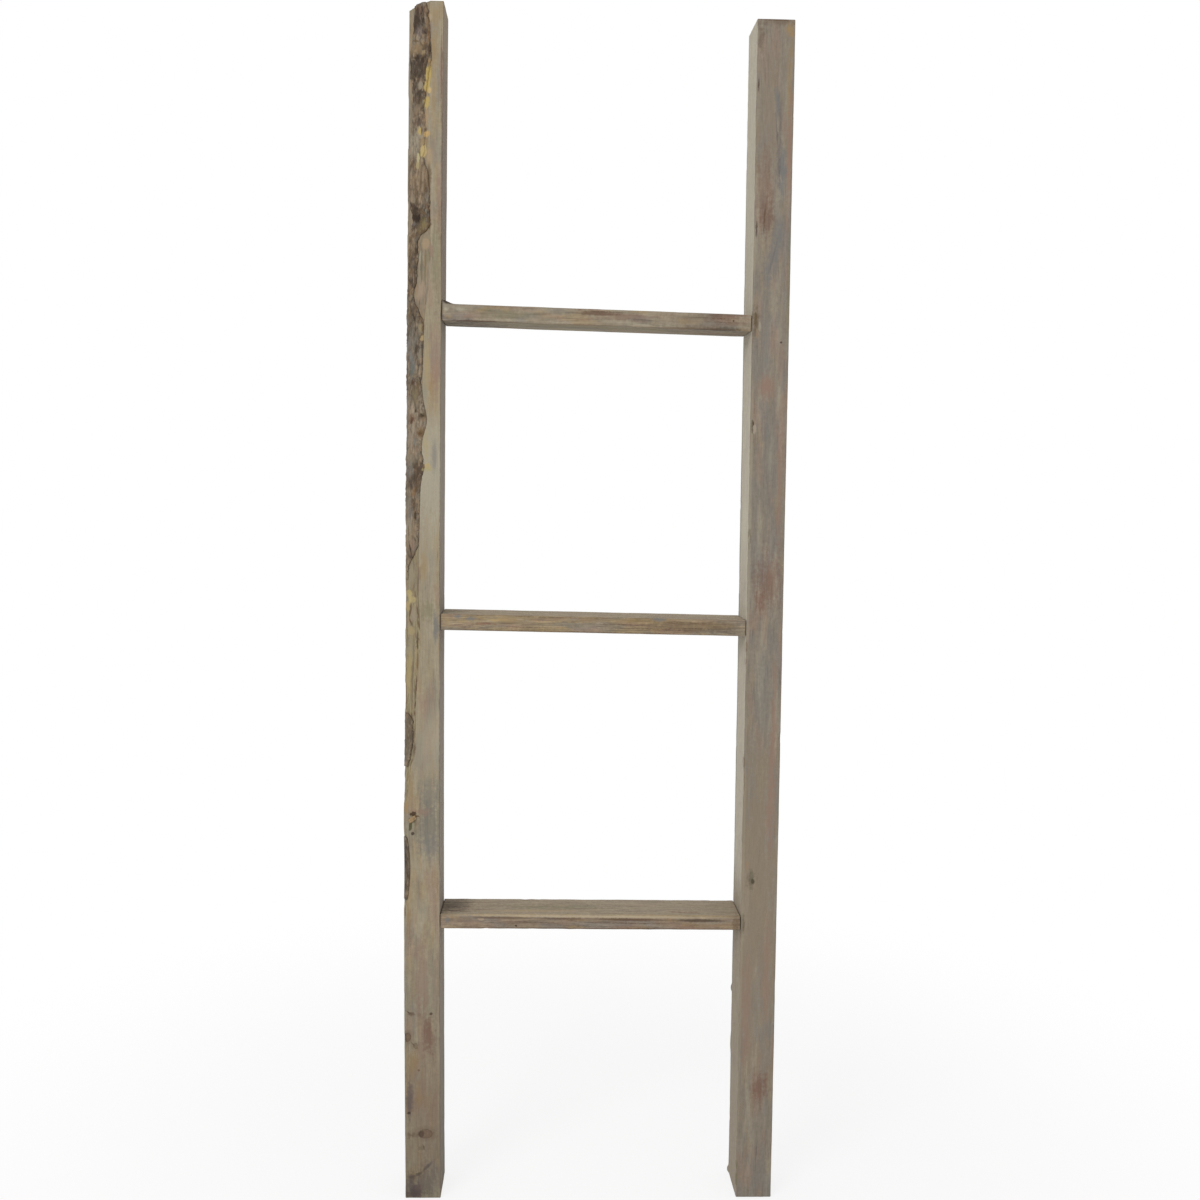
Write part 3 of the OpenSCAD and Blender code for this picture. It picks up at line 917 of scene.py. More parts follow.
WANE_STROKES = made(
    wane_line,
    (1182, 36.5, 1164, 36.8, 1.6, SOOT, 0.75), (1067, 35.4, 1040, 35.2, 2.6, CRUST, 0.75),
    (1016, 33, 1009, 36.6, 2.0, CRUST, 0.9), (1009, 36.6, 1002, 33.4, 2.2, CRUST, 0.9),
    (988, 24, 956, 23, 2.2, paint(112, 101, 80), 0.85),
    (984, 29, 950, 28.4, 2.0, paint(118, 106, 82), 0.8),
    (661, 22.4, 637, 22.6, 2.0, paint(112, 97, 76), 0.8), (632, 9.8, 623, 9.4, 1.8, CRUST, 0.9),
    (628, 10.9, 616, 6, 2.2, CRUST, 0.95), (616, 6, 608, 12, 2.2, CRUST, 0.95),
    (631, 19.3, 615, 22.3, 2.0, CRUST, 0.95), (615, 22.3, 604, 22.5, 2.0, CRUST, 0.9),
    (606, 20, 584, 19, 1.7, BROWN, 0.9), (584, 19, 560, 18.6, 1.9, paint(124, 96, 64), 0.9),
    (560, 18.6, 533, 17.6, 1.9, BROWN, 0.95), (533, 17.6, 523, 16.4, 1.9, BROWN, 0.95),
    (523, 16.4, 516, 15.3, 1.8, CRUST, 0.95), (521, 9.4, 510, 12.5, 1.8, CRUST, 0.95),
    (549, 1, 520, 1, 1.8, BROWN, 0.7), (510, 16.8, 490, 15.8, 1.4, CRUST, 0.8),
    (490, 16.4, 473, 14.6, 1.4, CRUST, 0.8), (473, 14.6, 463, 9.0, 1.4, CRUST, 0.8),
)

# Broad tones under the bark's own unevenness
BARK_ZONES = made(
    wane_mark,
    (1212, 24, 12, 4, paint(116, 84, 70), 0.55), (1204, 18, 17, 14, BARK_PIT, 0.9),
    (1160, 20, 24, 14, BARK_PIT, 0.8), (1132, 20, 9, 16, BARK_DARK, 0.8), (1088, 16, 20, 13, DUST, 0.9),
    (1050, 20, 24, 16, paint(140, 121, 98), 0.75), (1016, 14, 18, 14, BARK_PIT, 0.75),
    (975, 12, 10, 26, BARK_DARK, 0.35), (925, 14, 14, 12, BARK_DARK, 0.5),
    (900, 18, 16, 16, BARK_GREY, 0.6), (868, 14, 18, 12, BARK_GREY, 0.45),
    (820, 18, 20, 30, paint(150, 137, 118), 0.75), (756, 16, 14, 10, BARK_DARK, 0.7),
    (705, 12, 14, 20, BARK_PALE, 0.75), (360, 4, 12, 40, BARK_DARK, 0.7),
    (490, 4, 6, 30, BARK_DARK, 0.45),
)

RIGHT_MARKS = made(
    front_mark,
    (168, 320, 30, 150, paint(144, 129, 109), 0.6), (166, 1120, 12, 50, paint(142, 128, 110), 0.4),
    (181.6, 1200, 3.9, 6, OCHRE, 0.8), (153.5, 1192, 2.4, 10, BROWN, 0.5),
    (171.3, 1131, 2.5, 17, BLUE_GREY, 0.9), (178.1, 1062, 3.5, 24, BLUE_GREY, 0.9),
    (174, 1095, 2.2, 40, DUSK, 0.4), (183, 1150, 2.4, 40, OCHRE, 0.5), (184.5, 1085, 1.8, 60, PINK, 0.8),
    (160, 1045, 8, 40, RED, 0.35), (164, 1020, 6.5, 16, paint(118, 90, 76), 0.6),
    (176.3, 1001, 5, 14, BLUE_GREY, 0.7), (171, 983, 5, 20, BLUE_GREY, 0.7),
    (165.3, 965, 4, 14, BLUE_GREY, 0.7), (166, 900, 5, 60, BLUE_GREY, 0.5),
    (155.2, 917, 3.4, 14, paint(106, 90, 70), 0.75), (154.6, 922, 2.0, 6.6, CRUST, 0.85, True),
    (157.2, 907, 1.4, 5, paint(150, 128, 104), 0.7, True), (159.5, 914, 1.3, 5, PALE, 0.4, True),
    (181.2, 898.5, 1.2, 1.2, DARK, 0.8, True), (168.3, 854, 8, 13, PINK, 0.8),
    (154.7, 815, 1.8, 7.0, paint(76, 64, 46), 0.95, True),
    (157.0, 812, 1.9, 4.8, paint(166, 152, 136), 0.8, True),
    (154.5, 702, 1.7, 10, paint(84, 70, 50), 0.95, True), (175, 660, 12.8, 28.5, RED, 0.45),
    (166, 640, 5, 12, RED, 0.4), (173, 780, 9, 60, BLUE_GREY, 0.3), (183.5, 760, 2.4, 60, PINK, 0.6),
    (183.5, 421, 4.7, 44, PINK, 0.6), (165.8, 346, 4.2, 9.5, paint(104, 98, 80), 0.8),
    (167.2, 345.6, 1.9, 2.8, paint(72, 66, 50), 0.8, True),
    # The dark mark at x 156.4, height 298 is a painted shadow beside the bottom rung's right end
    (161, 362, 1.3, 6, paint(154, 130, 104), 0.7, True), (156.4, 298, 2.4, 10, paint(84, 70, 56), 0.8),
    (184.5, 500, 2.8, 60, PINK, 0.7), (172, 540, 8, 40, BLUE_GREY, 0.35), (179.9, 122, 8, 16.5, RED, 0.6),
    (163, 200, 5, 50, PINK, 0.5), (184, 250, 3, 60, PINK, 0.5), (187, 950, 2.0, 50, OLIVE, 0.4),
    (170, 1206, 18, 3, BROWN, 0.4), (157.4, 20, 1.4, 8, OLIVE, 0.7, True),
    (157.8, 36, 1.2, 5, OLIVE, 0.6, True),
    ((152, -4, 720), (3, 14, 30), paint(198, 192, 174), 0.6, False),
    ((150.5, -10, 210), (4, 20, 200), OLIVE, 0.3, False),
)

RIGHT_KNOTS = [
    ((153.6, Y_FRONT + 2, 591), (2, 4, 5), 0.6), ((154.2, Y_FRONT + 2, 471), (2, 4, 5), 0.6),
    ((154.0, Y_FRONT + 3, 576), (1.6, 3, 3), 0.6),
]

RIGHT_STROKES = made(
    front_line,
    (161.9, 1034, 161.0, 1003, 1.2, BROWN, 0.7), (153.7, 1018, 153.9, 1000, 1.5, DARK, 0.75),
    (177, 1006, 165, 958, 1.4, DUSK, 0.3), (152.1, 1154, 152.4, 1140, 1.1, DARK, 0.8),
    (170, 1120, 174, 1075, 1.1, DUSK, 0.45), (174, 1075, 176.5, 1045, 1.1, DUSK, 0.45),
    ((157.0, -22.0, 260), (151.2, -22.0, 1100), 3.6, paint(192, 184, 166), 0.75),
    ((155.0, 22.0, 20), (150.0, 22.0, 1200), 5.0, paint(134, 133, 122), 0.6),
    (155, 460, 155.4, 440, 0.9, BROWN, 0.7), (155.8, 560, 153.4, 880, 2.2, paint(164, 155, 136), 0.5),
    (158.0, 20, 156.0, 540, 2.2, paint(156, 146, 126), 0.45), (151.2, 1209, 187, 1208.6, 1.0, BROWN, 0.7),
    (156, 860, 156.6, 790, 0.7, BROWN, 0.4),
)

TOP_RUNG_MARKS = made(
    front_mark,
    (-153, 926, 2.6, 2.4, PALE, 0.8), (-150, 918, 3.4, 2, YELLOW, 0.25), (-139, 926, 4, 2, PALE, 0.6),
    (-117, 926, 5, 2, YELLOW, 0.2), (-94, 926, 5, 2, YELLOW, 0.2), (-129, 919, 7, 2, PINK, 0.6),
    (-100, 921, 30, 5, OLIVE, 0.4), (-6, 929, 24, 2, RED, 0.8), (-2, 924, 16, 2, BROWN, 0.6),
    (30, 921, 40, 3, RED, 0.35), (133, 919, 1.2, 1.2, DARK, 0.9, True), (128, 922, 18, 5, RED, 0.45),
    (100, 918, 50, 8, BROWN, 0.25), (122, 910.5, 20, 1.8, DARK, 0.5),
    # The two broad dark marks through the rung's depth, at heights 909 and 904, are painted shade on its
    # underside and lower front
    ((-132, 0, 909), (44, 44, 5.6), paint(80, 76, 72), 0.95, False),
    ((110, 0, 904), (60, 40, 5.0), paint(90, 80, 72), 0.7, False), (-130, 914, 24, 1.4, DARK, 0.6),
    ((0, -10, 912), (170, 12, 2.6), OLIVE, 0.4, False),
)

TOP_RUNG_STROKES = made(
    front_line,
    (-150, 914.0, -60, 913.0, 1.6, BROWN, 0.6), (-60, 913.0, 40, 911.4, 1.4, BROWN, 0.45),
    (40, 911.4, 140, 910.2, 1.6, BROWN, 0.5), (-20, 926, 30, 925, 0.8, BROWN, 0.7),
    (100, 921.5, 138, 920.5, 0.7, BROWN, 0.8), (104, 918, 136, 917, 0.6, BROWN, 0.7),
    # The last line here, along the flared upper edge at the left end, is a painted shadow of the far top
    # edge
    (-60, 930, 60, 927.8, 0.8, BROWN, 0.5), (-157.5, 934.6, -144.5, 931.6, 3.6, paint(54, 43, 35), 1.0),
)

MIDDLE_RUNG_MARKS = made(
    front_mark,
    (-140, 619, 5, 2.2, BLUE_GREY, 1), (-127, 618, 5, 2, BLUE_GREY, 0.9),
    (65, 618.6, 6, 2, BLUE_GREY, 0.9), (-135, 614, 8, 1.6, YELLOW, 0.25),
    (-101, 616, 10, 1.4, CREAM, 0.6), (-113, 612, 8, 1.4, RED, 0.6), (-90, 617, 14, 3, OCHRE, 0.6),
    (20, 616, 60, 2, OCHRE, 0.4), (-150, 613, 4, 4, YELLOW, 0.2), (100, 611, 50, 5, BROWN, 0.35),
)

MIDDLE_RUNG_STROKES = made(
    front_line,
    (-100, 620, 0, 618.6, 0.7, BROWN, 0.6), (-120, 609.5, -20, 608.6, 0.7, BROWN, 0.6),
    (-30, 613.6, 70, 612, 0.7, BROWN, 0.6), (0, 609.6, 110, 607.6, 0.7, BROWN, 0.6),
    (40, 616, 140, 614.2, 0.7, BROWN, 0.6), (-70, 615.4, 10, 614.2, 0.6, CREAM, 0.6),
    (60, 610.4, 146, 608.6, 0.7, DARK, 0.5), (-140, 606, 140, 603, 0.9, BROWN, 0.6),
)

# Height that the marks on the bottom rung's upper face are given at
TREAD = 309

BOTTOM_RUNG_MARKS = made(
    front_mark,
    (-115, 303.8, 3.4, 1.2, paint(178, 158, 132), 0.7, True),
    (116, 305.6, 3.4, 1.1, paint(178, 158, 132), 0.7, True), (-78.6, 297, 1.2, 1, DARK, 0.9, True),
    (-150, 303, 3, 4, BLUE_GREY, 0.8), ((-70, Y_FRONT, 308.6), (70, 3, 1.8), CREAM, 0.65, False),
    ((60, Y_FRONT, 308.3), (90, 3, 1.6), CREAM, 0.4, False),
    ((-140, -1.5, TREAD), (14, 1.6, 3), BROWN, 0.9, False),
    ((-145, -12.9, TREAD), (10, 1.4, 3), BROWN, 0.9, False),
    ((97, -13.5, TREAD), (18, 1.5, 3), RED, 0.7, False), ((-40, 0, TREAD), (60, 8, 3), OLIVE, 0.4, False),
    ((-60, -12, TREAD), (50, 3, 3), CREAM, 0.3, False), (-100, 299, 50, 3.5, RED, 0.15),
    (100, 298, 60, 5, RED, 0.15), ((-146, 4, TREAD), (18, 26, 3), paint(100, 88, 74), 0.7, False),
    (151, 299, 3.4, 9, BROWN, 0.5),
)

BOTTOM_RUNG_STROKES = made(
    front_line,
    (-128, 305.6, -60, 304.8, 1.8, BROWN, 0.6), (-60, 304.8, 0, 304.4, 1.6, BROWN, 0.65),
    (0, 304.4, 80, 303.4, 2.0, BROWN, 0.8), (80, 303.4, 146, 302.8, 2.4, DARK, 0.7),
    ((-150, Y_FRONT + 0.5, 308.4), (146, Y_FRONT + 0.5, 306.2), 2.2, paint(184, 168, 142), 0.95),
    (-100, 301.4, -30, 300.2, 0.8, BROWN, 0.7), (-20, 300.8, 90, 299.6, 0.8, BROWN, 0.7),
    (-154, 294.4, 150, 293.8, 1.6, BROWN, 0.6), (-60, 297, 40, 296.4, 0.7, BROWN, 0.5),
    ((-150, -8, TREAD), (-90, -9, TREAD), 0.9, BROWN, 0.7),
    ((-60, -4, TREAD), (40, -3, TREAD), 0.9, BROWN, 0.5),
    ((20, -15, TREAD), (140, -14, TREAD), 0.9, BROWN, 0.6),
    ((-30, -19, TREAD), (60, -18, TREAD), 0.8, BROWN, 0.5),
)


class Board:
    """What sets one board's wood apart from the others'; what isn't given stays as it is here.

    A facing light tint is painted light or shade: an axis and the way along it that its face looks, a
    colour, its share, and the heights where it is gone and whole. An end is a place along the board, how
    wide it is dark, and how much; at the rungs' ends that dark is painted shade of the joints with the
    rails.
    """

    marks = knots = strokes = tints = ends = ()
    contrast = 1.0
    pink = 0.45
    ochre = 0.35
    blue = 0.45
    stretch = 14
    foot = 0.0
    grain = 0.0
    wane = False

    def __init__(self, name, wash, along, seed, **extras):
        self.name = name
        self.wash = wash
        self.along = along
        self.seed = seed
        vars(self).update(extras)


class Grain:
    """The noises of one board's wood, drawn out along its grain."""

    def __init__(self, sheet, board, place):
        def drawn(point, share):
            """The point with its place along the board drawn together to this share."""
            stretched = tuple(share if axis == board.along else 1.0 for axis in range(3))
            return sheet.vector("MULTIPLY", point, stretched)

        shifted = sheet.vector("ADD", place, (board.seed, board.seed * 0.7, board.seed * 1.3))
        lean = sheet.vector("SUBTRACT", sheet.cloud(drawn(shifted, 1 / 5), 24, 1, output=1), MIDDLE)
        self.bent = sheet.vector("MULTIPLY_ADD", lean, (9.0, 9.0, 9.0), shifted)
        fibre = drawn(self.bent, 1 / board.stretch)
        patch = drawn(self.bent, 1 / 4)
        self.streaks = sheet.cloud(fibre, 3.0, 3, 0.6)
        self.fine = sheet.cloud(fibre, 0.9, 2, 0.6)
        self.bands = sheet.cloud(fibre, 9.0, 1)
        self.hairs = sheet.cloud(drawn(self.bent, 1 / 40), 1.0, 1)
        self.mottle = sheet.cloud(self.bent, 3.6, 4, 0.62)
        self.pink = sheet.cloud(patch, 11.0)
        self.ochre = sheet.cloud(sheet.vector("ADD", patch, (31.0, 17.0, 5.0)), 9.0)
        self.blue = sheet.cloud(sheet.vector("ADD", patch, (77.0, 51.0, 23.0)), 12.0)


# Outwards from the missing corner
WANE_OUT = (-0.77, -0.64)
# Along a board, from one saw mark to the next
SAW_PITCH = 2.7


def bare_corner(sheet, colour, tone, grain, place, z, facing):
    """The missing corner's bare wood: ridged, with straw and mould low down and a brown rim above.

    Returns the colour and tone with it, and where it is.
    """
    outward = facing[0] * WANE_OUT[0] + facing[1] * WANE_OUT[1]
    bare = sheet.ramp(outward, 0.88, 0.95)
    low_down = bare * sheet.ramp(z, 760, 640)
    ridges = sheet.cloud(sheet.vector("MULTIPLY", grain.bent, (1.0, 1.0, 0.1)), 1.9, 3, 0.6)
    grooves = sheet.cloud(sheet.vector("MULTIPLY", place, (1.0, 1.0, 0.14)), 1.5, 3, 0.65)
    rim = sheet.ramp(abs(outward - 0.85), 0.06, 0.0, 0.4)
    colour = sheet.layers(
        colour,
        (PEELED, bare * 0.7),
        (STRAW_WOOD, low_down * sheet.ramp(grain.mottle + grain.streaks - 0.5, 0.38, 0.56, 0.6)),
        (BARK_WARM, bare * sheet.ramp(ridges, 0.52, 0.64, 0.6)),
        (CRUST, low_down * sheet.ramp(grooves, 0.52, 0.62, 0.6)),
        (MOULD, low_down * sheet.ramp(grain.mottle, 0.5, 0.62, 0.5)),
        (BROWN, rim * sheet.ramp(z, 560, 640)),
    )
    return colour, tone + bare * (1.7 * ridges + 0.6 * grain.fine - 1.15), bare


def wood(board):
    """Rough sawn, washed wood, whose grain runs along an axis (0 for X, 2 for Z)."""
    material, sheet = new_material(board.name)
    place = sheet.millimetres()
    spot = sheet.parts(place)
    length = spot[board.along]
    z = spot[2]
    facing = sheet.facing()
    grain = Grain(sheet, board, place)
    streaks, fine, mottle = grain.streaks, grain.fine, grain.mottle
    colour = sheet.layers(
        board.wash,
        (PALE, sheet.ramp(grain.bands, 0.5, 0.72, 0.3)),
        (PINK, sheet.ramp(grain.pink, 0.5, 0.66, board.pink)),
        (OCHRE, sheet.ramp(grain.ochre, 0.52, 0.66, board.ochre)),
        (BLUE_GREY, sheet.ramp(grain.blue, 0.5, 0.66, board.blue)),
    )
    # Painted light and shade: faces that look one way along an axis get a lighter or darker colour between
    # two heights
    for axis, sign, tint, share, low, high in board.tints:
        facing_light_share = sheet.ramp(facing[axis] * sign, 0.6, 0.95, share) * sheet.ramp(z, low, high)
        colour = sheet.blend(colour, tint, facing_light_share)

    power = board.contrast
    tone = (1 - 0.95 * power) + power * (0.8 * streaks + 0.45 * fine + 0.65 * mottle)
    tone = tone - sheet.ramp(grain.hairs, 0.6, 0.74, 0.3 * power)
    if board.grain:
        tone = tone + board.grain * (fine - 0.5)
    if board.wane:
        colour, tone, bare = bare_corner(sheet, colour, tone, grain, place, z, facing)
    colour = sheet.scale(colour, tone)

    drift = tuple(9.0 if axis == board.along else 4.0 for axis in range(3))
    grounds = (sheet.jolted(place, 9.0, drift), sheet.jolted(place, 2.2, (1.6, 1.6, 1.6)))
    ragged = (1.8 * streaks + 1.6 * mottle - 1.7, 0.9 * fine + 0.8 * mottle - 0.85)
    colour = sheet.knots(colour, grounds[1], ragged[1] * 0.5, board.knots)
    colour = sheet.spots(colour, grounds, ragged, board.marks)
    colour = sheet.strokes(colour, grounds[1], board.strokes)
    if board.wane:
        grounds = tuple(sheet.wane_place(ground) for ground in grounds)
        colour = sheet.spots(colour, grounds, ragged, WANE_MARKS)
        colour = sheet.strokes(colour, grounds[1], WANE_STROKES)

    # Dark bands at the given places along the board; at the rungs' ends they are painted shade of the
    # joints with the rails
    for where, width, share in board.ends:
        near = sheet.ramp(abs(length - where) + 1.5 * mottle, width, 0.0, share)
        colour = sheet.blend(colour, DARK, near)
    if board.foot:
        colour = sheet.scale(colour, 1 - sheet.ramp(z, 330, 0, board.foot))
    end = sheet.ramp(abs(facing[board.along]), 0.7, 0.95)
    colour = sheet.blend(colour, sheet.scale(colour, 0.72), end)
    flat = abs(facing[0])
    for side in facing[1:]:
        flat = flat.math("MAXIMUM", flat, abs(side))
    worn = sheet.ramp(flat, 0.97, 0.85, 0.32)
    if board.wane:
        worn = worn * (1 - bare)
    colour = sheet.blend(colour, BROWN, worn * sheet.ramp(mottle, 0.38, 0.6))

    across = spot[(board.along + 1) % 3] * 0.12
    saw = (length + across + 6 * (mottle - 0.5)) * (2 * math.pi / SAW_PITCH)
    saw = saw.math("SINE", saw) * sheet.ramp(grain.ochre, 0.42, 0.6)
    height = 0.5 * streaks + 0.8 * fine + 0.1 * saw + 0.35 * mottle
    sheet.surface(colour, 0.7 + 0.2 * streaks, height, depth=0.7)
    return material


def near_height(marks, low, high):
    """Those of the marks whose first height lies between low and high."""
    return [mark for mark in marks if low < mark[0][2] < high]


def bark_finish(name, low, high, faded=0.0, edge=0.45):
    """Dry bark between two heights, with the marks that lie there.

    It has dark furrows, paler inner layers and greenish grey dust. faded is how far it is worn to
    its inner layer, and edge how dark its edge is.
    """
    material, sheet = new_material(name)
    place = sheet.millimetres()
    crack, plate, rim = (
        sheet.add("ShaderNodeAttribute", {"attribute_name": value}, None, "Fac")
        for value in ("crack", "plate", "rim")
    )
    tall = sheet.vector("MULTIPLY", place, (1.0, 1.0, 0.6))
    lumps = sheet.cloud(tall, 4.0, 4, 0.62, distortion=0.5)
    fibres = sheet.cloud(sheet.vector("MULTIPLY", place, (1.0, 1.0, 0.16)), 1.7, 3, 0.6)
    specks = sheet.cloud(place, 1.6, 3, 0.65)
    patches = sheet.cloud(sheet.vector("ADD", tall, (9.0, 4.0, 61.0)), 7.0, 3, 0.6)
    inner = sheet.cloud(sheet.vector("ADD", tall, (71.0, 14.0, 3.0)), 5.0, 3, 0.6)
    grounds = (sheet.jolted(place, 7.0, (5.0, 5.0, 8.0)), sheet.jolted(place, 2.0, (1.8, 1.8, 2.4)))
    grounds = tuple(sheet.wane_place(ground) for ground in grounds)
    ragged = (1.8 * lumps + 1.4 * specks - 1.6, 1.0 * specks + 0.8 * lumps - 0.9)
    colour = sheet.layers(
        BARK_DARK,
        (BARK_PALE, sheet.ramp(plate + 1.6 * (lumps - 0.5), 0.15, 0.85)),
        (BARK_GREY, sheet.ramp(patches, 0.46, 0.6, 0.7)),
        (BARK_WARM, sheet.ramp(inner, 0.52, 0.64, 0.6)),
        (BARK_VIOLET, sheet.ramp(specks, 0.56, 0.68, 0.45)),
    )
    colour = sheet.spots(colour, grounds, ragged, near_height(BARK_ZONES, low, high))
    colour = sheet.scale(colour, 0.06 + 0.8 * fibres + 1.15 * lumps)
    colour = sheet.layers(
        colour,
        (BARK_PIT, crack * sheet.ramp(specks, 0.3, 0.5, 0.55)),
        (BARK_PIT, sheet.ramp(lumps, 0.42, 0.3, 0.6)),
        (PEELED, faded),
        (BARK_DARK, rim * sheet.ramp(specks, 0.35, 0.55, edge)),
    )
    colour = sheet.spots(colour, grounds, ragged, near_height(BARK_MARKS + WANE_MARKS, low, high))
    colour = sheet.strokes(colour, grounds[1], near_height(BARK_STROKES + WANE_STROKES, low, high))
    height = 0.8 * lumps + 0.5 * fibres + 0.4 * specks
    sheet.surface(colour, 0.8 + 0.15 * lumps, height, depth=1.0, specular=0.2)
    return material


def zinc_finish(name):
    """Zinc plating, dulled and flecked, with patches of dirt."""
    material, sheet = new_material(name)
    place = sheet.millimetres()
    flecks = sheet.cloud(place, 0.8, 4, 0.6)
    dirt = sheet.cloud(place, 2.5, 3, 0.6)
    colour = sheet.blend(paint(196, 194, 184), paint(150, 146, 134), sheet.ramp(flecks, 0.4, 0.65))
    colour = sheet.blend(colour, paint(110, 88, 66), sheet.ramp(dirt, 0.55, 0.75, 0.6))
    roughness = 0.38 + 0.25 * flecks + 0.2 * dirt
    sheet.surface(colour, roughness, flecks, depth=0.08, strength=0.5, specular=0.5, metallic=1.0)
    return material


# Pieces

# Steps along the boards, across a rail's front and sides, and across a rung's underside and back
RAIL_STEP = 2.0
RUNG_STEP = 2.0
RAIL_ACROSS = (3, 4)
RUNG_ACROSS = (3.5, 3)
# Steps across the missing corner
WANE_STEPS = 22
# How deep it is furrowed, and how deep its outer edge is chipped
FURROW = 0.4
EDGE_CHIP = 1.3
# How far a rung's end stays clear of the rail
JOINT_GAP = 0.2
# How far the top rung's upper edge rises at its left end, and how far from its middle it begins and ends
FLARE_RISE = 4.0
FLARE_SPAN = (141, 155)

# Dents in each rail's front, and splinters at the right one's back: place, half sizes, depth
LEFT_DENTS = [
    ((-184, Y_FRONT, 409), (8, 8, 9), 1.2), ((-190, Y_FRONT, 176), (4, 4, 6), 1.0),
    ((-172, Y_FRONT, 71), (8, 6, 7), 0.5), ((-182, Y_FRONT, 167), (3, 4, 4), 0.5),
]
RIGHT_DENTS = [
    ((155, Y_FRONT, 920), (5, 5, 18), 1.2), ((154.7, Y_FRONT, 816), (4, 5, 12), 0.8),
    ((154.6, Y_FRONT, 700), (4, 5, 9), 0.8), ((164.6, Y_FRONT, 346), (6, 5, 14), 0.4),
]
RIGHT_SPLINTERS = [
    ((154.5, Y_BACK, 211), (5, 5, 5), 1.2), ((155.5, Y_BACK, 4), (4, 4, 5), 1.6),
    ((154, Y_BACK, 150), (4, 4, 16), 0.6),
]


def screw_pair(rung, side):
    """The node of the screws that hold one end of a rung."""
    return f"{rung.split('_')[0]}_{side}_screws"


def corner_relief(solid, z, width, seed):
    """How far the missing corner is furrowed, and chipped along its outer edge."""
    on_cut = np.zeros(solid.shape[1])
    on_cut[1:WANE_STEPS] = 1
    at_edge = np.zeros(solid.shape[1])
    at_edge[[0, 1, 2, -1, -2]] = (1, 0.8, 0.4, 0.8, 0.2)
    furrows = FURROW * (1 + noise(solid, (3.2, 3.2, 30), seed + 92, 2))
    chips = EDGE_CHIP * ease(along_noise(z, 12, seed + 93, 3), -0.25, 0.6)
    return (furrows * on_cut + chips[:, None] * at_edge) * ease(width, 1, 6)[:, None]


def rail_rings(shape, z, look, seed, hollows, splinters):
    """Rings round a rail at heights z, worn, dented and splintered."""
    (left_front, right_front), (left_back, right_back) = (
        (shape.outer(z), shape.inner(z, y))[::shape.inner_side] for y in (Y_FRONT, Y_BACK)
    )
    corners = four_corners(
        (left_front, Y_FRONT), (right_front, Y_FRONT), (right_back, Y_BACK), (left_back, Y_BACK),
    )
    before, after = worn_arrises(z, look.arris / MM, seed)
    swell = ARRIS_SWELL * (before + after) / 2
    cut_steps = [ARRIS_STEPS] * 4
    if shape is LEFT:
        width, depth = wane_size(z)
        before[:, 0] = np.maximum(before[:, 0], depth)
        after[:, 0] = np.maximum(after[:, 0], width)
        chord = np.hypot(before[:, 0], after[:, 0])
        swell[:, 0] = np.where(width > 0, chord ** 2 / (8 * LOG_R), swell[:, 0])
        cut_steps[0] = WANE_STEPS
    face = box_mm("right_rail")[1][0] - RIGHT.inner(0)
    shares = [face_shares(*pair) for pair in zip((face, DEPTH), RAIL_ACROSS)] * 2
    rings, outs = section(corners, before, after, swell, cut_steps, shares)
    solid = with_length(rings, z)
    low = sunk(
        solid, look.wobble / MM, seed, waves=(24, 24, 150), ripples=(5, 5, 40), ripple_deep=0.12,
    )
    if shape is LEFT:
        low += corner_relief(solid, z, width, seed)
    low = np.maximum(low + dents(solid, hollows), 0) - dents(solid, splinters)
    rings = rings - outs * low[..., None]
    rings[..., 1] = np.clip(rings[..., 1], Y_FRONT, Y_BACK)
    return rings, outs


def make_rail(side, shape, look, seed, end_seed, hollows, splinters=()):
    """A rail's board, with its screw holes."""
    lengths = stations(shape.height, RAIL_STEP)
    rings, outs = rail_rings(shape, lengths, look, seed, hollows, splinters)
    solid, centres = with_ends(rings, outs, lengths, worn=0.8, seed=end_seed)
    piece = skin(side + "_rail_board", solid, centres)
    drill(piece, [screw_pair(rung, side) for rung in RUNGS])
    return piece


def rung_ends(node):
    """Heights of a rung's lower and upper face at its left end, then at its right end."""
    points = on_face(corners_mm(node), Y_BACK)
    ends = [points[side * points[:, 0] > 0][:, 2] for side in (-1, 1)]
    return [pick(end) for end in ends for pick in (np.min, np.max)]


def make_rung(node, look, seed):
    """A board between the rails, whose ends follow their inner faces."""
    low_left, top_left, low_right, top_right = rung_ends(node)
    length = RIGHT.inner(top_right) - LEFT.inner(top_left) - 2 * JOINT_GAP
    lengths = stations(length, RUNG_STEP)
    share = lengths / length
    low = low_left + (low_right - low_left) * share
    top = top_left + (top_right - top_left) * share
    if node == "top_rung":
        top = top + FLARE_RISE * ease(length / 2 - lengths, *FLARE_SPAN)
    corners = four_corners((Y_FRONT, low), (Y_BACK, low), (Y_BACK, top), (Y_FRONT, top))
    before, after = worn_arrises(lengths, look.arris / MM * 0.9, seed)
    swell = ARRIS_SWELL * (before + after) / 2
    shares = [face_shares(*pair) for pair in zip((DEPTH, top_left - low_left), RUNG_ACROSS)] * 2
    rings, outs = section(corners, before, after, swell, [ARRIS_STEPS] * 4, shares)
    low = sunk(
        with_length(rings, lengths), look.wobble / MM, seed,
        waves=(20, 14, 110), ripples=(4, 3, 30), ripple_deep=0.14,
    )
    rings = rings - outs * low[..., None]
    solid, centres = with_ends(rings, outs, lengths, worn=0.5, seed=seed)

    def placed(points):
        """The board's points, moved to between the rails."""
        y, z, along = np.moveaxis(points, -1, 0)
        start = LEFT.inner(z, y) + JOINT_GAP
        end = RIGHT.inner(z, y) - JOINT_GAP
        return np.stack([start + (end - start) * along / length, y, z], -1)

    piece = skin(node + "_board", placed(solid), placed(np.array(centres)))
    drill(piece, [screw_pair(node, side) for side in ("left", "right")])
    return piece


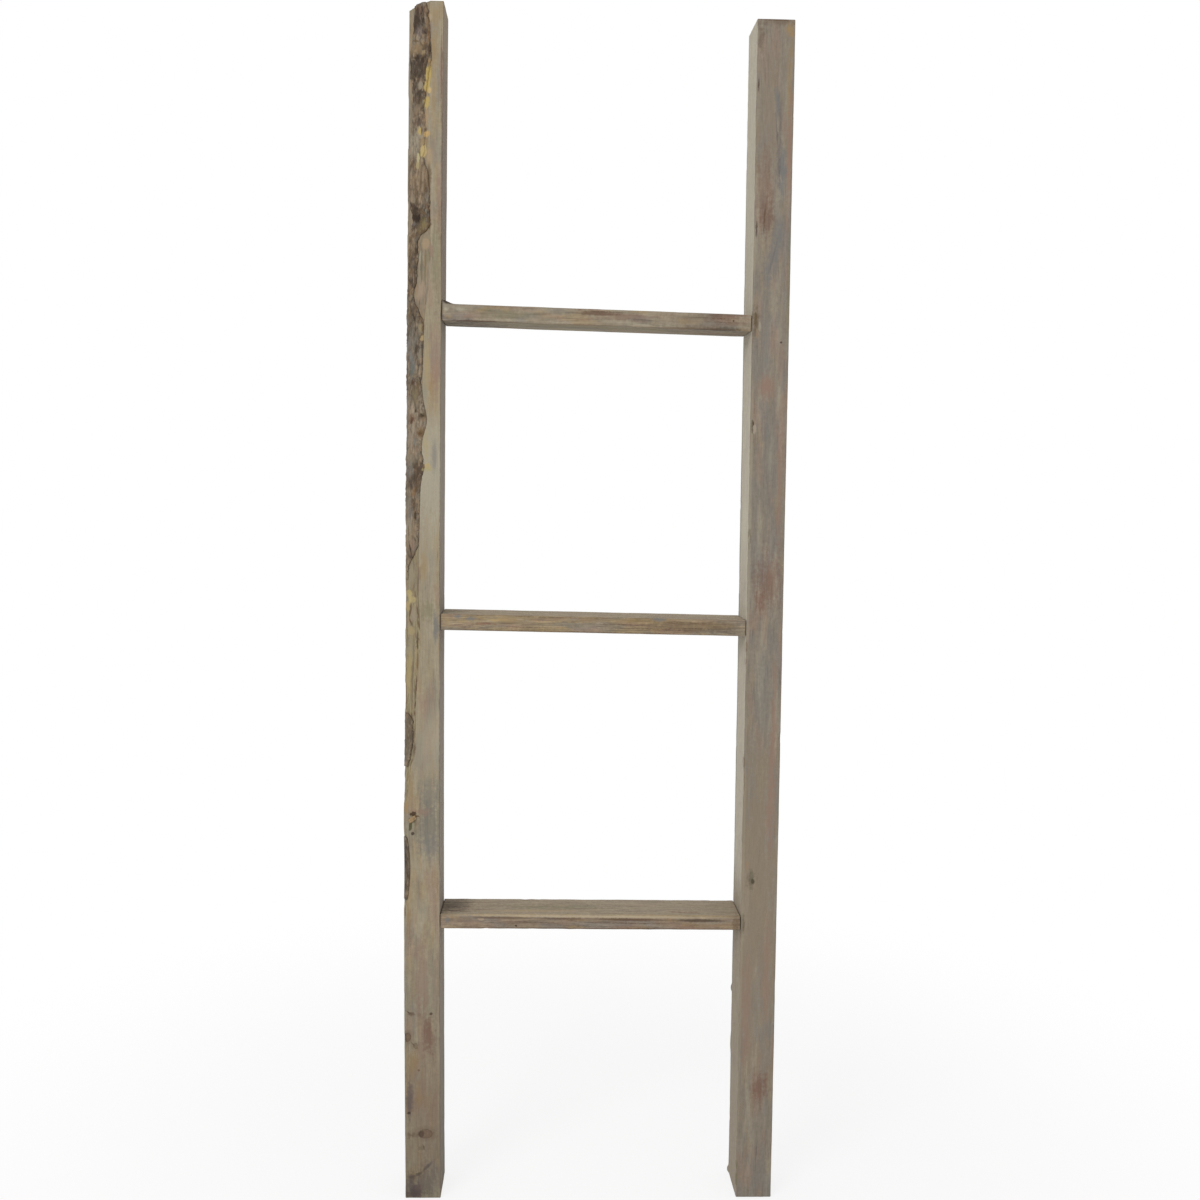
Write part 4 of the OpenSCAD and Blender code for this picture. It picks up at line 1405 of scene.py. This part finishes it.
# How deep the bark's underside lies in the wood, and how high its edge stands
BARK_SINK = 1.0
BARK_RIM = 0.35
# Points across a piece of bark, and how far apart they are along it
BARK_ACROSS = 30
BARK_STEP = 1.4
# Width and height of a plate of bark
PLATE = (6.0, 19.0)

# Where the upper piece's edges lie on the missing corner: height, share of its width
UPPER_BARK_LEFT = [
    (655, 0.05), (684, 0.05), (936, 0.06), (999, 0.11), (1009, 0.3), (1019, 0.27), (1030, 0.14),
    (1064, 0.06), (1093, 0.11), (1104, 0.22), (1114, 0.3), (1130, 0.31), (1148, 0.25), (1153, 0.11),
    (1178, 0.1), (1184, 0.22), (1197, 0.3), (1219, 0.33),
]
UPPER_BARK_RIGHT = [
    (655, 0.1), (668, 0.2), (677, 0.5), (684, 0.8), (696, 0.95), (716, 0.97), (731, 0.93), (746, 0.98),
    (766, 0.88), (773, 0.83), (791, 0.98), (816, 0.98), (836, 0.97), (854, 0.86), (865, 0.95),
    (904, 0.98), (912, 0.9), (920, 0.71), (935, 0.36), (943, 0.34), (955, 0.45), (994, 0.48), (998, 0.6),
    (1001, 0.85), (1005, 0.94), (1010, 0.98), (1016, 0.95), (1026, 0.94), (1050, 0.93), (1064, 0.87),
    (1073, 0.75), (1079, 0.82), (1107, 0.83), (1119, 0.77), (1129, 0.83), (1136, 0.85), (1159, 0.86),
    (1164, 0.93), (1182, 0.96), (1196, 0.95), (1211, 0.88), (1219, 0.8),
]
# How thick the upper piece is at each height, as a share; thin where only its inner layer is left
UPPER_BARK_THICK = [
    (655, 0.2), (680, 0.45), (700, 0.75), (780, 0.95), (930, 0.9), (960, 0.6), (996, 0.7), (1010, 1.0),
    (1030, 0.9), (1056, 0.5), (1072, 0.3), (1102, 0.3), (1112, 0.9), (1219, 1.0),
]


def bark_sheet(name, z, edges, thick, seed, ragged=1.0):
    """A closed sheet of bark on the missing corner at heights z.

    edges are two tables of height and share, and thick is the most that it stands out at each height.
    """
    chord = wane_chord(z)
    left, right = (np.interp(z, *zip(*table)) * chord for table in edges)
    left = left + ragged * (1.4 * along_noise(z, 6, seed, 3) + 0.9 * along_noise(z, 2.6, seed + 8, 2))
    wander = 1.2 + 2.2 * along_noise(z, 7, seed + 1, 3) + 1.4 * along_noise(z, 3, seed + 9, 2)
    right = right + ragged * wander
    left = np.clip(left, 0.4, chord * 0.9)[:, None]
    right = np.clip(right[:, None], left + 1.2, chord[:, None] - 0.3)
    c = left + (right - left) * np.linspace(0, 1, BARK_ACROSS)
    zz = np.broadcast_to(z[:, None], c.shape)
    ground = np.stack([c, zz, np.zeros_like(c)], -1)
    warp_c = c + 1.6 * noise(ground, (7, 9, 1), seed + 3, 2)
    warp_z = zz + 3.0 * noise(ground, (6, 10, 1), seed + 4, 2)
    edge, flake = plates(warp_c / PLATE[0], warp_z / PLATE[1], seed + 5)
    step = 1 - ease(edge, 0.0, 0.25)
    warped = np.stack([warp_c, warp_z, np.zeros_like(c)], -1)
    furrow = 1 - ease(np.abs(noise(warped, (3.6, 15, 1), seed + 6, 3)), 0.0, 0.17)
    lumps = noise(ground, (6, 9, 1), seed + 7, 3)
    height = thick[:, None] * (0.44 + 0.28 * flake + 0.34 * lumps)
    height = height * (1 - 0.4 * furrow) * (1 - 0.25 * step)
    inside = np.minimum(c - left, right - c)
    tip = (z - z[0])[:, None]
    rim = ease(np.minimum(inside, tip * 0.6), -0.2, 1.5)
    height = np.clip(height, 0.45, thick[:, None]) * rim + BARK_RIM * (1 - rim)
    ring = np.concatenate([on_wane(zz, c, height), on_wane(zz, c, -BARK_SINK)[:, ::-1]], 1)
    ring[..., 0] = np.maximum(ring[..., 0], CAD_BOX[0][0] / MM + 0.02)
    ring[..., 1] = np.maximum(ring[..., 1], Y_FRONT)
    values = {
        "crack": np.maximum(0.9 * furrow, 0.5 * step),
        "plate": 0.45 * flake + 0.55 * (0.5 + 0.5 * lumps),
        "rim": 1 - ease(inside, 0.2, 1.2),
    }
    values = {label: np.concatenate([v, v[:, ::-1]], 1) for label, v in values.items()}
    return skin(name, ring, [ring[0].mean(0), ring[-1].mean(0)], values)


def make_bark(node, look):
    """One piece of bark, at its node's height."""
    low, high = (float(corner[2]) for corner in box_mm(node))
    heights = np.linspace(low, high, max(20, round((high - low) / BARK_STEP)))
    thick = look.bark / MM * np.ones_like(heights)
    name = node + "_sheet"
    if node == "upper_bark":
        thick = thick * np.interp(heights, *zip(*UPPER_BARK_THICK))
        return bark_sheet(name, heights, (UPPER_BARK_LEFT, UPPER_BARK_RIGHT), thick, 301)
    if node == "middle_bark":
        left = [(low, 0.06), (high, 0.06)]
        right = [
            (low, 0.3), (low + 8, 0.62), (low + 26, 0.78), (low + 40, 0.73), (high - 8, 0.74), (high, 0.32),
        ]
        return bark_sheet(name, heights, (left, right), thick * 0.5, 331, 0.8)
    left = [(low, 0.02), (high, 0.02)]
    right = [(low, 0.75), (low + 5, 1.0), (high - 6, 1.0), (high, 0.7)]
    return bark_sheet(name, heights, (left, right), thick * 0.35, 361, 0.35)


TWIG_AT = (-186.0, Y_FRONT + 0.6, 409.0)
TWIG_LONG = 8.4
TWIG_WIDE = 4.8
TWIG_DEEP = 3.0
# Degrees from level, and how far it bends to one side along its length
TWIG_LEAN = 28
TWIG_BEND = 1.2
TWIG_RINGS = 12
TWIG_SIDES = 20


def make_twig_stub():
    """The broken stub of a twig, level with the front face in its dent."""
    turn = np.linspace(0, 2 * math.pi, TWIG_SIDES, endpoint=False)
    square = np.maximum(np.abs(np.cos(turn)), np.abs(np.sin(turn))) ** 0.7
    lean = math.radians(TWIG_LEAN)
    along = np.array([math.cos(lean), 0, math.sin(lean)])
    across = np.array([-math.sin(lean), 0, math.cos(lean)])
    rings = []
    for t in np.linspace(0, 1, TWIG_RINGS):
        size = 0.55 + 0.45 * math.sin(math.pi * (0.15 + 0.75 * t))
        wide = TWIG_WIDE / 2 * size / square
        deep = TWIG_DEEP / 2 * size / square
        middle = np.array(TWIG_AT) + (along * TWIG_LONG + across * TWIG_BEND) * (t - 0.5)
        ring = np.outer(np.cos(turn) * wide, across) + np.outer(np.sin(turn) * deep, (0, 1, 0))
        rings.append(middle + ring)
    rings = np.stack(rings)
    rings = rings + 0.3 * noise(rings, (2.2, 2.2, 2.2), 77, 2)[..., None] * (along + across)
    rings[..., 1] += 0.3 * noise(rings, (4, 2, 1.2), 78, 2)
    rings[..., 1] = np.maximum(rings[..., 1], Y_FRONT + 0.05)
    piece = skin("twig_stub", rings[:, ::-1], [rings[0].mean(0), rings[-1].mean(0)])
    material, sheet = new_material("broken_twig")
    place = sheet.millimetres()
    fibres = sheet.cloud(sheet.vector("MULTIPLY", place, (0.3, 1.0, 1.0)), 0.9, 3, 0.6)
    patches = sheet.cloud(place, 2.5)
    colour = sheet.layers(
        paint(168, 143, 108),
        (paint(144, 118, 84), sheet.ramp(fibres, 0.4, 0.65)),
        (paint(110, 84, 58), sheet.ramp(patches, 0.52, 0.7, 0.7)),
    )
    sheet.surface(colour, 0.75 + 0.1 * fibres, fibres, depth=0.6)
    piece.data.materials.append(material)
    return piece


# Settings that a user would change

def wash(name, red, green, blue):
    """The colour of one board's wash."""
    return FloatVectorProperty(
        name=name, description=f"Wash on the {name.lower()}",
        default=paint(red, green, blue), size=4, min=0, max=1, subtype="COLOR",
    )


class LadderLook(PropertyGroup):
    """Sizes and colours of the boards and the bark."""

    arris: FloatProperty(
        name="Arris wear", description="How far the boards' edges are worn back",
        default=1.0 * MM, min=0.2 * MM, max=3 * MM, precision=5, unit="LENGTH",
    )
    wobble: FloatProperty(
        name="Unevenness", description="How far the sawn faces sink between their high places",
        default=0.35 * MM, min=0.0, max=1.5 * MM, precision=5, unit="LENGTH",
    )
    bark: FloatProperty(
        name="Bark", description="Thickness of the bark at its thickest",
        default=3.0 * MM, min=1.0 * MM, max=4 * MM, precision=5, unit="LENGTH",
    )
    left_rail: wash("Left rail", 156, 144, 121)
    right_rail: wash("Right rail", 138, 128, 114)
    top_rung: wash("Top rung", 151, 139, 119)
    middle_rung: wash("Middle rung", 150, 132, 104)
    bottom_rung: wash("Bottom rung", 144, 128, 108)


class LadderStage(PropertyGroup):
    """Light and floor."""

    daylight: FloatProperty(
        name="Daylight", description="Strength of the even light from all round",
        default=0.62, min=0.0, max=2.0,
    )
    key: FloatProperty(
        name="Key light", description="Power of the large lamp at the upper left",
        default=46.0, min=0.0, max=500.0, unit="POWER",
    )
    floor: FloatVectorProperty(
        name="Floor", description="Colour of the floor",
        default=(0.93, 0.93, 0.93, 1.0), size=4, min=0, max=1, subtype="COLOR",
    )


# Camera, in millimetres and radians, as fitted to the photographed corners

CAMERA_AT = (-36.0757, -1314.6691, 759.2824)
CAMERA_YAW = 0.0309
CAMERA_PITCH = 0.094
CAMERA_ROLL = 0.0144
CAMERA_LENS = 38.2856
CAMERA_SENSOR = 36.0


def camera_matrix():
    """Looks along +Y when all angles are zero; yaw turns right, pitch looks down."""
    cos_yaw, sin_yaw = math.cos(CAMERA_YAW), math.sin(CAMERA_YAW)
    cos_pitch, sin_pitch = math.cos(CAMERA_PITCH), math.sin(CAMERA_PITCH)
    ahead = Vector((sin_yaw * cos_pitch, cos_yaw * cos_pitch, -sin_pitch))
    right = Vector((cos_yaw, -sin_yaw, 0))
    up = right.cross(ahead)
    cos_roll, sin_roll = math.cos(CAMERA_ROLL), math.sin(CAMERA_ROLL)
    right_rolled = right * cos_roll + up * sin_roll
    up_rolled = up * cos_roll - right * sin_roll
    turn = Matrix((right_rolled, up_rolled, -ahead)).transposed().to_4x4()
    return Matrix.Translation(Vector(CAMERA_AT) * MM) @ turn


# The lamp and the floor, in metres
LAMP_AT = (-1.9, -2.6, 2.3)
LAMP_AIM = (0, 0, 0.6)
LAMP_SIZE = 1.6
FLOOR_REACH = 6.0
FLOOR_DROP = 0.0002
# How much of the floor's look is plain white near the ladder; it is all white from FLOOR_WHITE on
FLOOR_GLOW = 0.82
FLOOR_NEAR = 0.3
FLOOR_WHITE = 1.0
WHITE = (1, 1, 1, 1)


def lamp(name, place, aim, size, power):
    """A large square lamp at a place in metres, aimed at a point."""
    light = bpy.data.lights.new(name, "AREA")
    light.shape = "SQUARE"
    light.size = size
    light.energy = power
    holder = add_object(name, light)
    holder.location = place
    holder.rotation_euler = (Vector(aim) - Vector(place)).to_track_quat("-Z", "Y").to_euler()


class LADDER_OT_stage(Operator):
    """Sets up the camera, the light and the floor."""

    bl_idname = "ladder.stage"
    bl_label = "Stage"

    def execute(self, context):
        scene = context.scene
        settings = scene.ladder_stage
        scene.view_settings.view_transform = "Standard"
        data = bpy.data.cameras.new("camera")
        data.lens = CAMERA_LENS
        data.sensor_width = CAMERA_SENSOR
        data.clip_end = 100
        camera = add_object("camera", data)
        camera.matrix_world = camera_matrix()
        scene.camera = camera

        world = bpy.data.worlds.new("studio")
        world.use_nodes = True
        scene.world = world
        sheet = Sheet(world.node_tree)
        seen = sheet.add("ShaderNodeLightPath", output="Is Camera Ray")
        glossy = sheet.add("ShaderNodeLightPath", output="Is Glossy Ray")
        through = sheet.add("ShaderNodeLightPath", output="Is Transmission Ray")
        white = seen.math("MAXIMUM", seen, glossy.math("MAXIMUM", glossy, through))
        strength = settings.daylight + (1 - settings.daylight) * white
        sky = sheet.add("ShaderNodeBackground", None, {"Color": WHITE, "Strength": strength})
        sheet.add("ShaderNodeOutputWorld", None, {"Surface": sky})

        lamp("key", LAMP_AT, LAMP_AIM, LAMP_SIZE, settings.key)

        mesh = bpy.data.meshes.new("floor")
        corners = [(FLOOR_REACH * x, FLOOR_REACH * y, 0) for x, y in ((-1, -1), (1, -1), (1, 1), (-1, 1))]
        mesh.from_pydata(corners, [], [(0, 1, 2, 3)])
        floor = add_object("floor", mesh)
        floor.location.z = -FLOOR_DROP
        material, sheet = new_material("floor_paint")
        place = sheet.add("ShaderNodeTexCoord", output="Object")
        away = sheet.vector("LENGTH", place, output="Value")
        seen = sheet.add("ShaderNodeLightPath", output="Is Camera Ray")
        plain = sheet.add("ShaderNodeBsdfDiffuse", None, {"Color": tuple(settings.floor)})
        glow = sheet.add("ShaderNodeEmission", None, {"Color": WHITE, "Strength": 1.0})
        share = (FLOOR_GLOW + (1 - FLOOR_GLOW) * sheet.ramp(away, FLOOR_NEAR, FLOOR_WHITE)) * seen
        shader = sheet.add("ShaderNodeMixShader", None, {0: share, 1: plain, 2: glow})
        sheet.add("ShaderNodeOutputMaterial", None, {"Surface": shader})
        mesh.materials.append(material)
        return {"FINISHED"}


class LADDER_OT_left_rail(Operator):
    """Makes the left rail, with its missing corner, from its worn and washed board."""

    bl_idname = "ladder.left_rail"
    bl_label = "Left rail"

    def execute(self, context):
        look = context.scene.ladder_look
        board = Board(
            "left_rail_wood", look.left_rail, 2, 3.0, marks=LEFT_MARKS, knots=LEFT_KNOTS,
            strokes=LEFT_STROKES, contrast=0.6, pink=0.36, ochre=0.28, blue=0.3, foot=0.3, wane=True,
            ends=[(LEFT.height, 2.4, 0.5)],
            tints=[
                # Painted light: the inner face, which lies in shade, is given paler colours
                (0, 1, paint(153, 143, 131), 0.8, 990, 900), (0, 1, paint(140, 125, 113), 0.8, 900, 990),
                (0, 1, paint(156, 141, 118), 0.8, 1150, 1185),
            ],
        )
        piece = make_rail("left", LEFT, look, 11, 5, LEFT_DENTS)
        finish_piece(piece, ["left_rail"], "left_rail_wood", wood(board))
        twig = make_twig_stub()
        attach(twig, "root")
        return {"FINISHED"}


class LADDER_OT_right_rail(Operator):
    """Makes the right rail."""

    bl_idname = "ladder.right_rail"
    bl_label = "Right rail"

    def execute(self, context):
        look = context.scene.ladder_look
        board = Board(
            "right_rail_wood", look.right_rail, 2, 41.0, marks=RIGHT_MARKS, knots=RIGHT_KNOTS,
            strokes=RIGHT_STROKES, contrast=0.6, foot=0.03, pink=0.32, ochre=0.15, stretch=8,
            ends=[(RIGHT.height, 2.2, 0.4)],
            tints=[
                # Painted light: the inner face, which looks towards the lamp, is given a much paler colour
                (0, -1, paint(194, 187, 170), 0.8, 0, 1), (0, -1, paint(180, 173, 156), 0.9, 930, 980),
                (0, -1, paint(151, 139, 122), 0.85, 370, 300),
            ],
        )
        piece = make_rail("right", RIGHT, look, 211, 6, RIGHT_DENTS, RIGHT_SPLINTERS)
        finish_piece(piece, ["right_rail"], "right_rail_wood", wood(board))
        return {"FINISHED"}


class LADDER_OT_rungs(Operator):
    """Makes the three rungs."""

    bl_idname = "ladder.rungs"
    bl_label = "Rungs"

    def execute(self, context):
        look = context.scene.ladder_look
        woods = (
            {"marks": TOP_RUNG_MARKS, "strokes": TOP_RUNG_STROKES, "contrast": 0.9, "stretch": 16},
            {"marks": MIDDLE_RUNG_MARKS, "strokes": MIDDLE_RUNG_STROKES, "stretch": 30, "grain": 1.1},
            {"marks": BOTTOM_RUNG_MARKS, "strokes": BOTTOM_RUNG_STROKES, "grain": 0.3},
        )
        for number, (node, kind) in enumerate(zip(RUNGS, woods)):
            low, high = box_mm(node)
            right_joint_shade = 0.12 if node == "top_rung" else 0.6
            board = Board(
                node + "_wood", getattr(look, node), 0, 90.0 + 37 * number,
                # Dark bands at both ends are painted shade of the joints with the rails, faint at the top
                # rung's right end
                ends=[(low[0], 3.0, 0.75), (high[0], 3.0, right_joint_shade)],
                # Painted light: the rungs' upper faces are paler
                tints=[(2, 1, paint(166, 152, 131), 0.75, 0, 1)], **kind,
            )
            finish_piece(make_rung(node, look, 401 + 50 * number), [node], node + "_wood", wood(board))
        return {"FINISHED"}


class LADDER_OT_bark(Operator):
    """Makes the three pieces of bark on the left rail's missing corner."""

    bl_idname = "ladder.bark"
    bl_label = "Bark"

    def execute(self, context):
        finishes = (
            bark_finish("dry_bark", 640, 1300),
            bark_finish("thin_bark", 400, 530, faded=0.3, edge=0.7),
            bark_finish("flat_bark", 300, 400, edge=0.9),
        )
        for node, material in zip(BARKS, finishes):
            finish_piece(make_bark(node, context.scene.ladder_look), [node], "bark", material)
        return {"FINISHED"}


class LADDER_OT_screws(Operator):
    """Gives the screws their worn zinc."""

    bl_idname = "ladder.screws"
    bl_label = "Screws"

    def execute(self, context):
        material = zinc_finish("worn_zinc")
        for name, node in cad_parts.items():
            if name.endswith("_screws"):
                for slot in node.material_slots:
                    slot.material = material
        return {"FINISHED"}


class LADDER_PT_panel(Panel):
    """Lists the ladder's settings and pieces."""

    bl_idname = "LADDER_PT_panel"
    bl_label = "Decorative ladder"
    bl_space_type = "VIEW_3D"
    bl_region_type = "UI"
    bl_category = "Ladder"

    def draw(self, context):
        look = context.scene.ladder_look
        for group in (look, context.scene.ladder_stage):
            for name in group.bl_rna.properties.keys():
                if name not in ("rna_type", "name"):
                    self.layout.prop(group, name)
        for operator in OPERATORS:
            self.layout.operator(operator.bl_idname)


OPERATORS = (
    LADDER_OT_stage, LADDER_OT_left_rail, LADDER_OT_right_rail, LADDER_OT_rungs,
    LADDER_OT_bark, LADDER_OT_screws,
)
CLASSES = (LadderLook, LadderStage) + OPERATORS + (LADDER_PT_panel,)


def register():
    """Adds the classes and the scene's two groups of settings."""
    for each in CLASSES:
        bpy.utils.register_class(each)
    bpy.types.Scene.ladder_look = PointerProperty(type=LadderLook)
    bpy.types.Scene.ladder_stage = PointerProperty(type=LadderStage)


def unregister():
    """Takes them away again."""
    del bpy.types.Scene.ladder_stage
    del bpy.types.Scene.ladder_look
    for each in reversed(CLASSES):
        bpy.utils.unregister_class(each)


def main():
    """Makes the ladder and its stage."""
    register()
    bpy.ops.ladder.stage()
    bpy.ops.ladder.left_rail()
    bpy.ops.ladder.right_rail()
    bpy.ops.ladder.rungs()
    bpy.ops.ladder.bark()
    bpy.ops.ladder.screws()


if __name__ == "__main__":
    main()
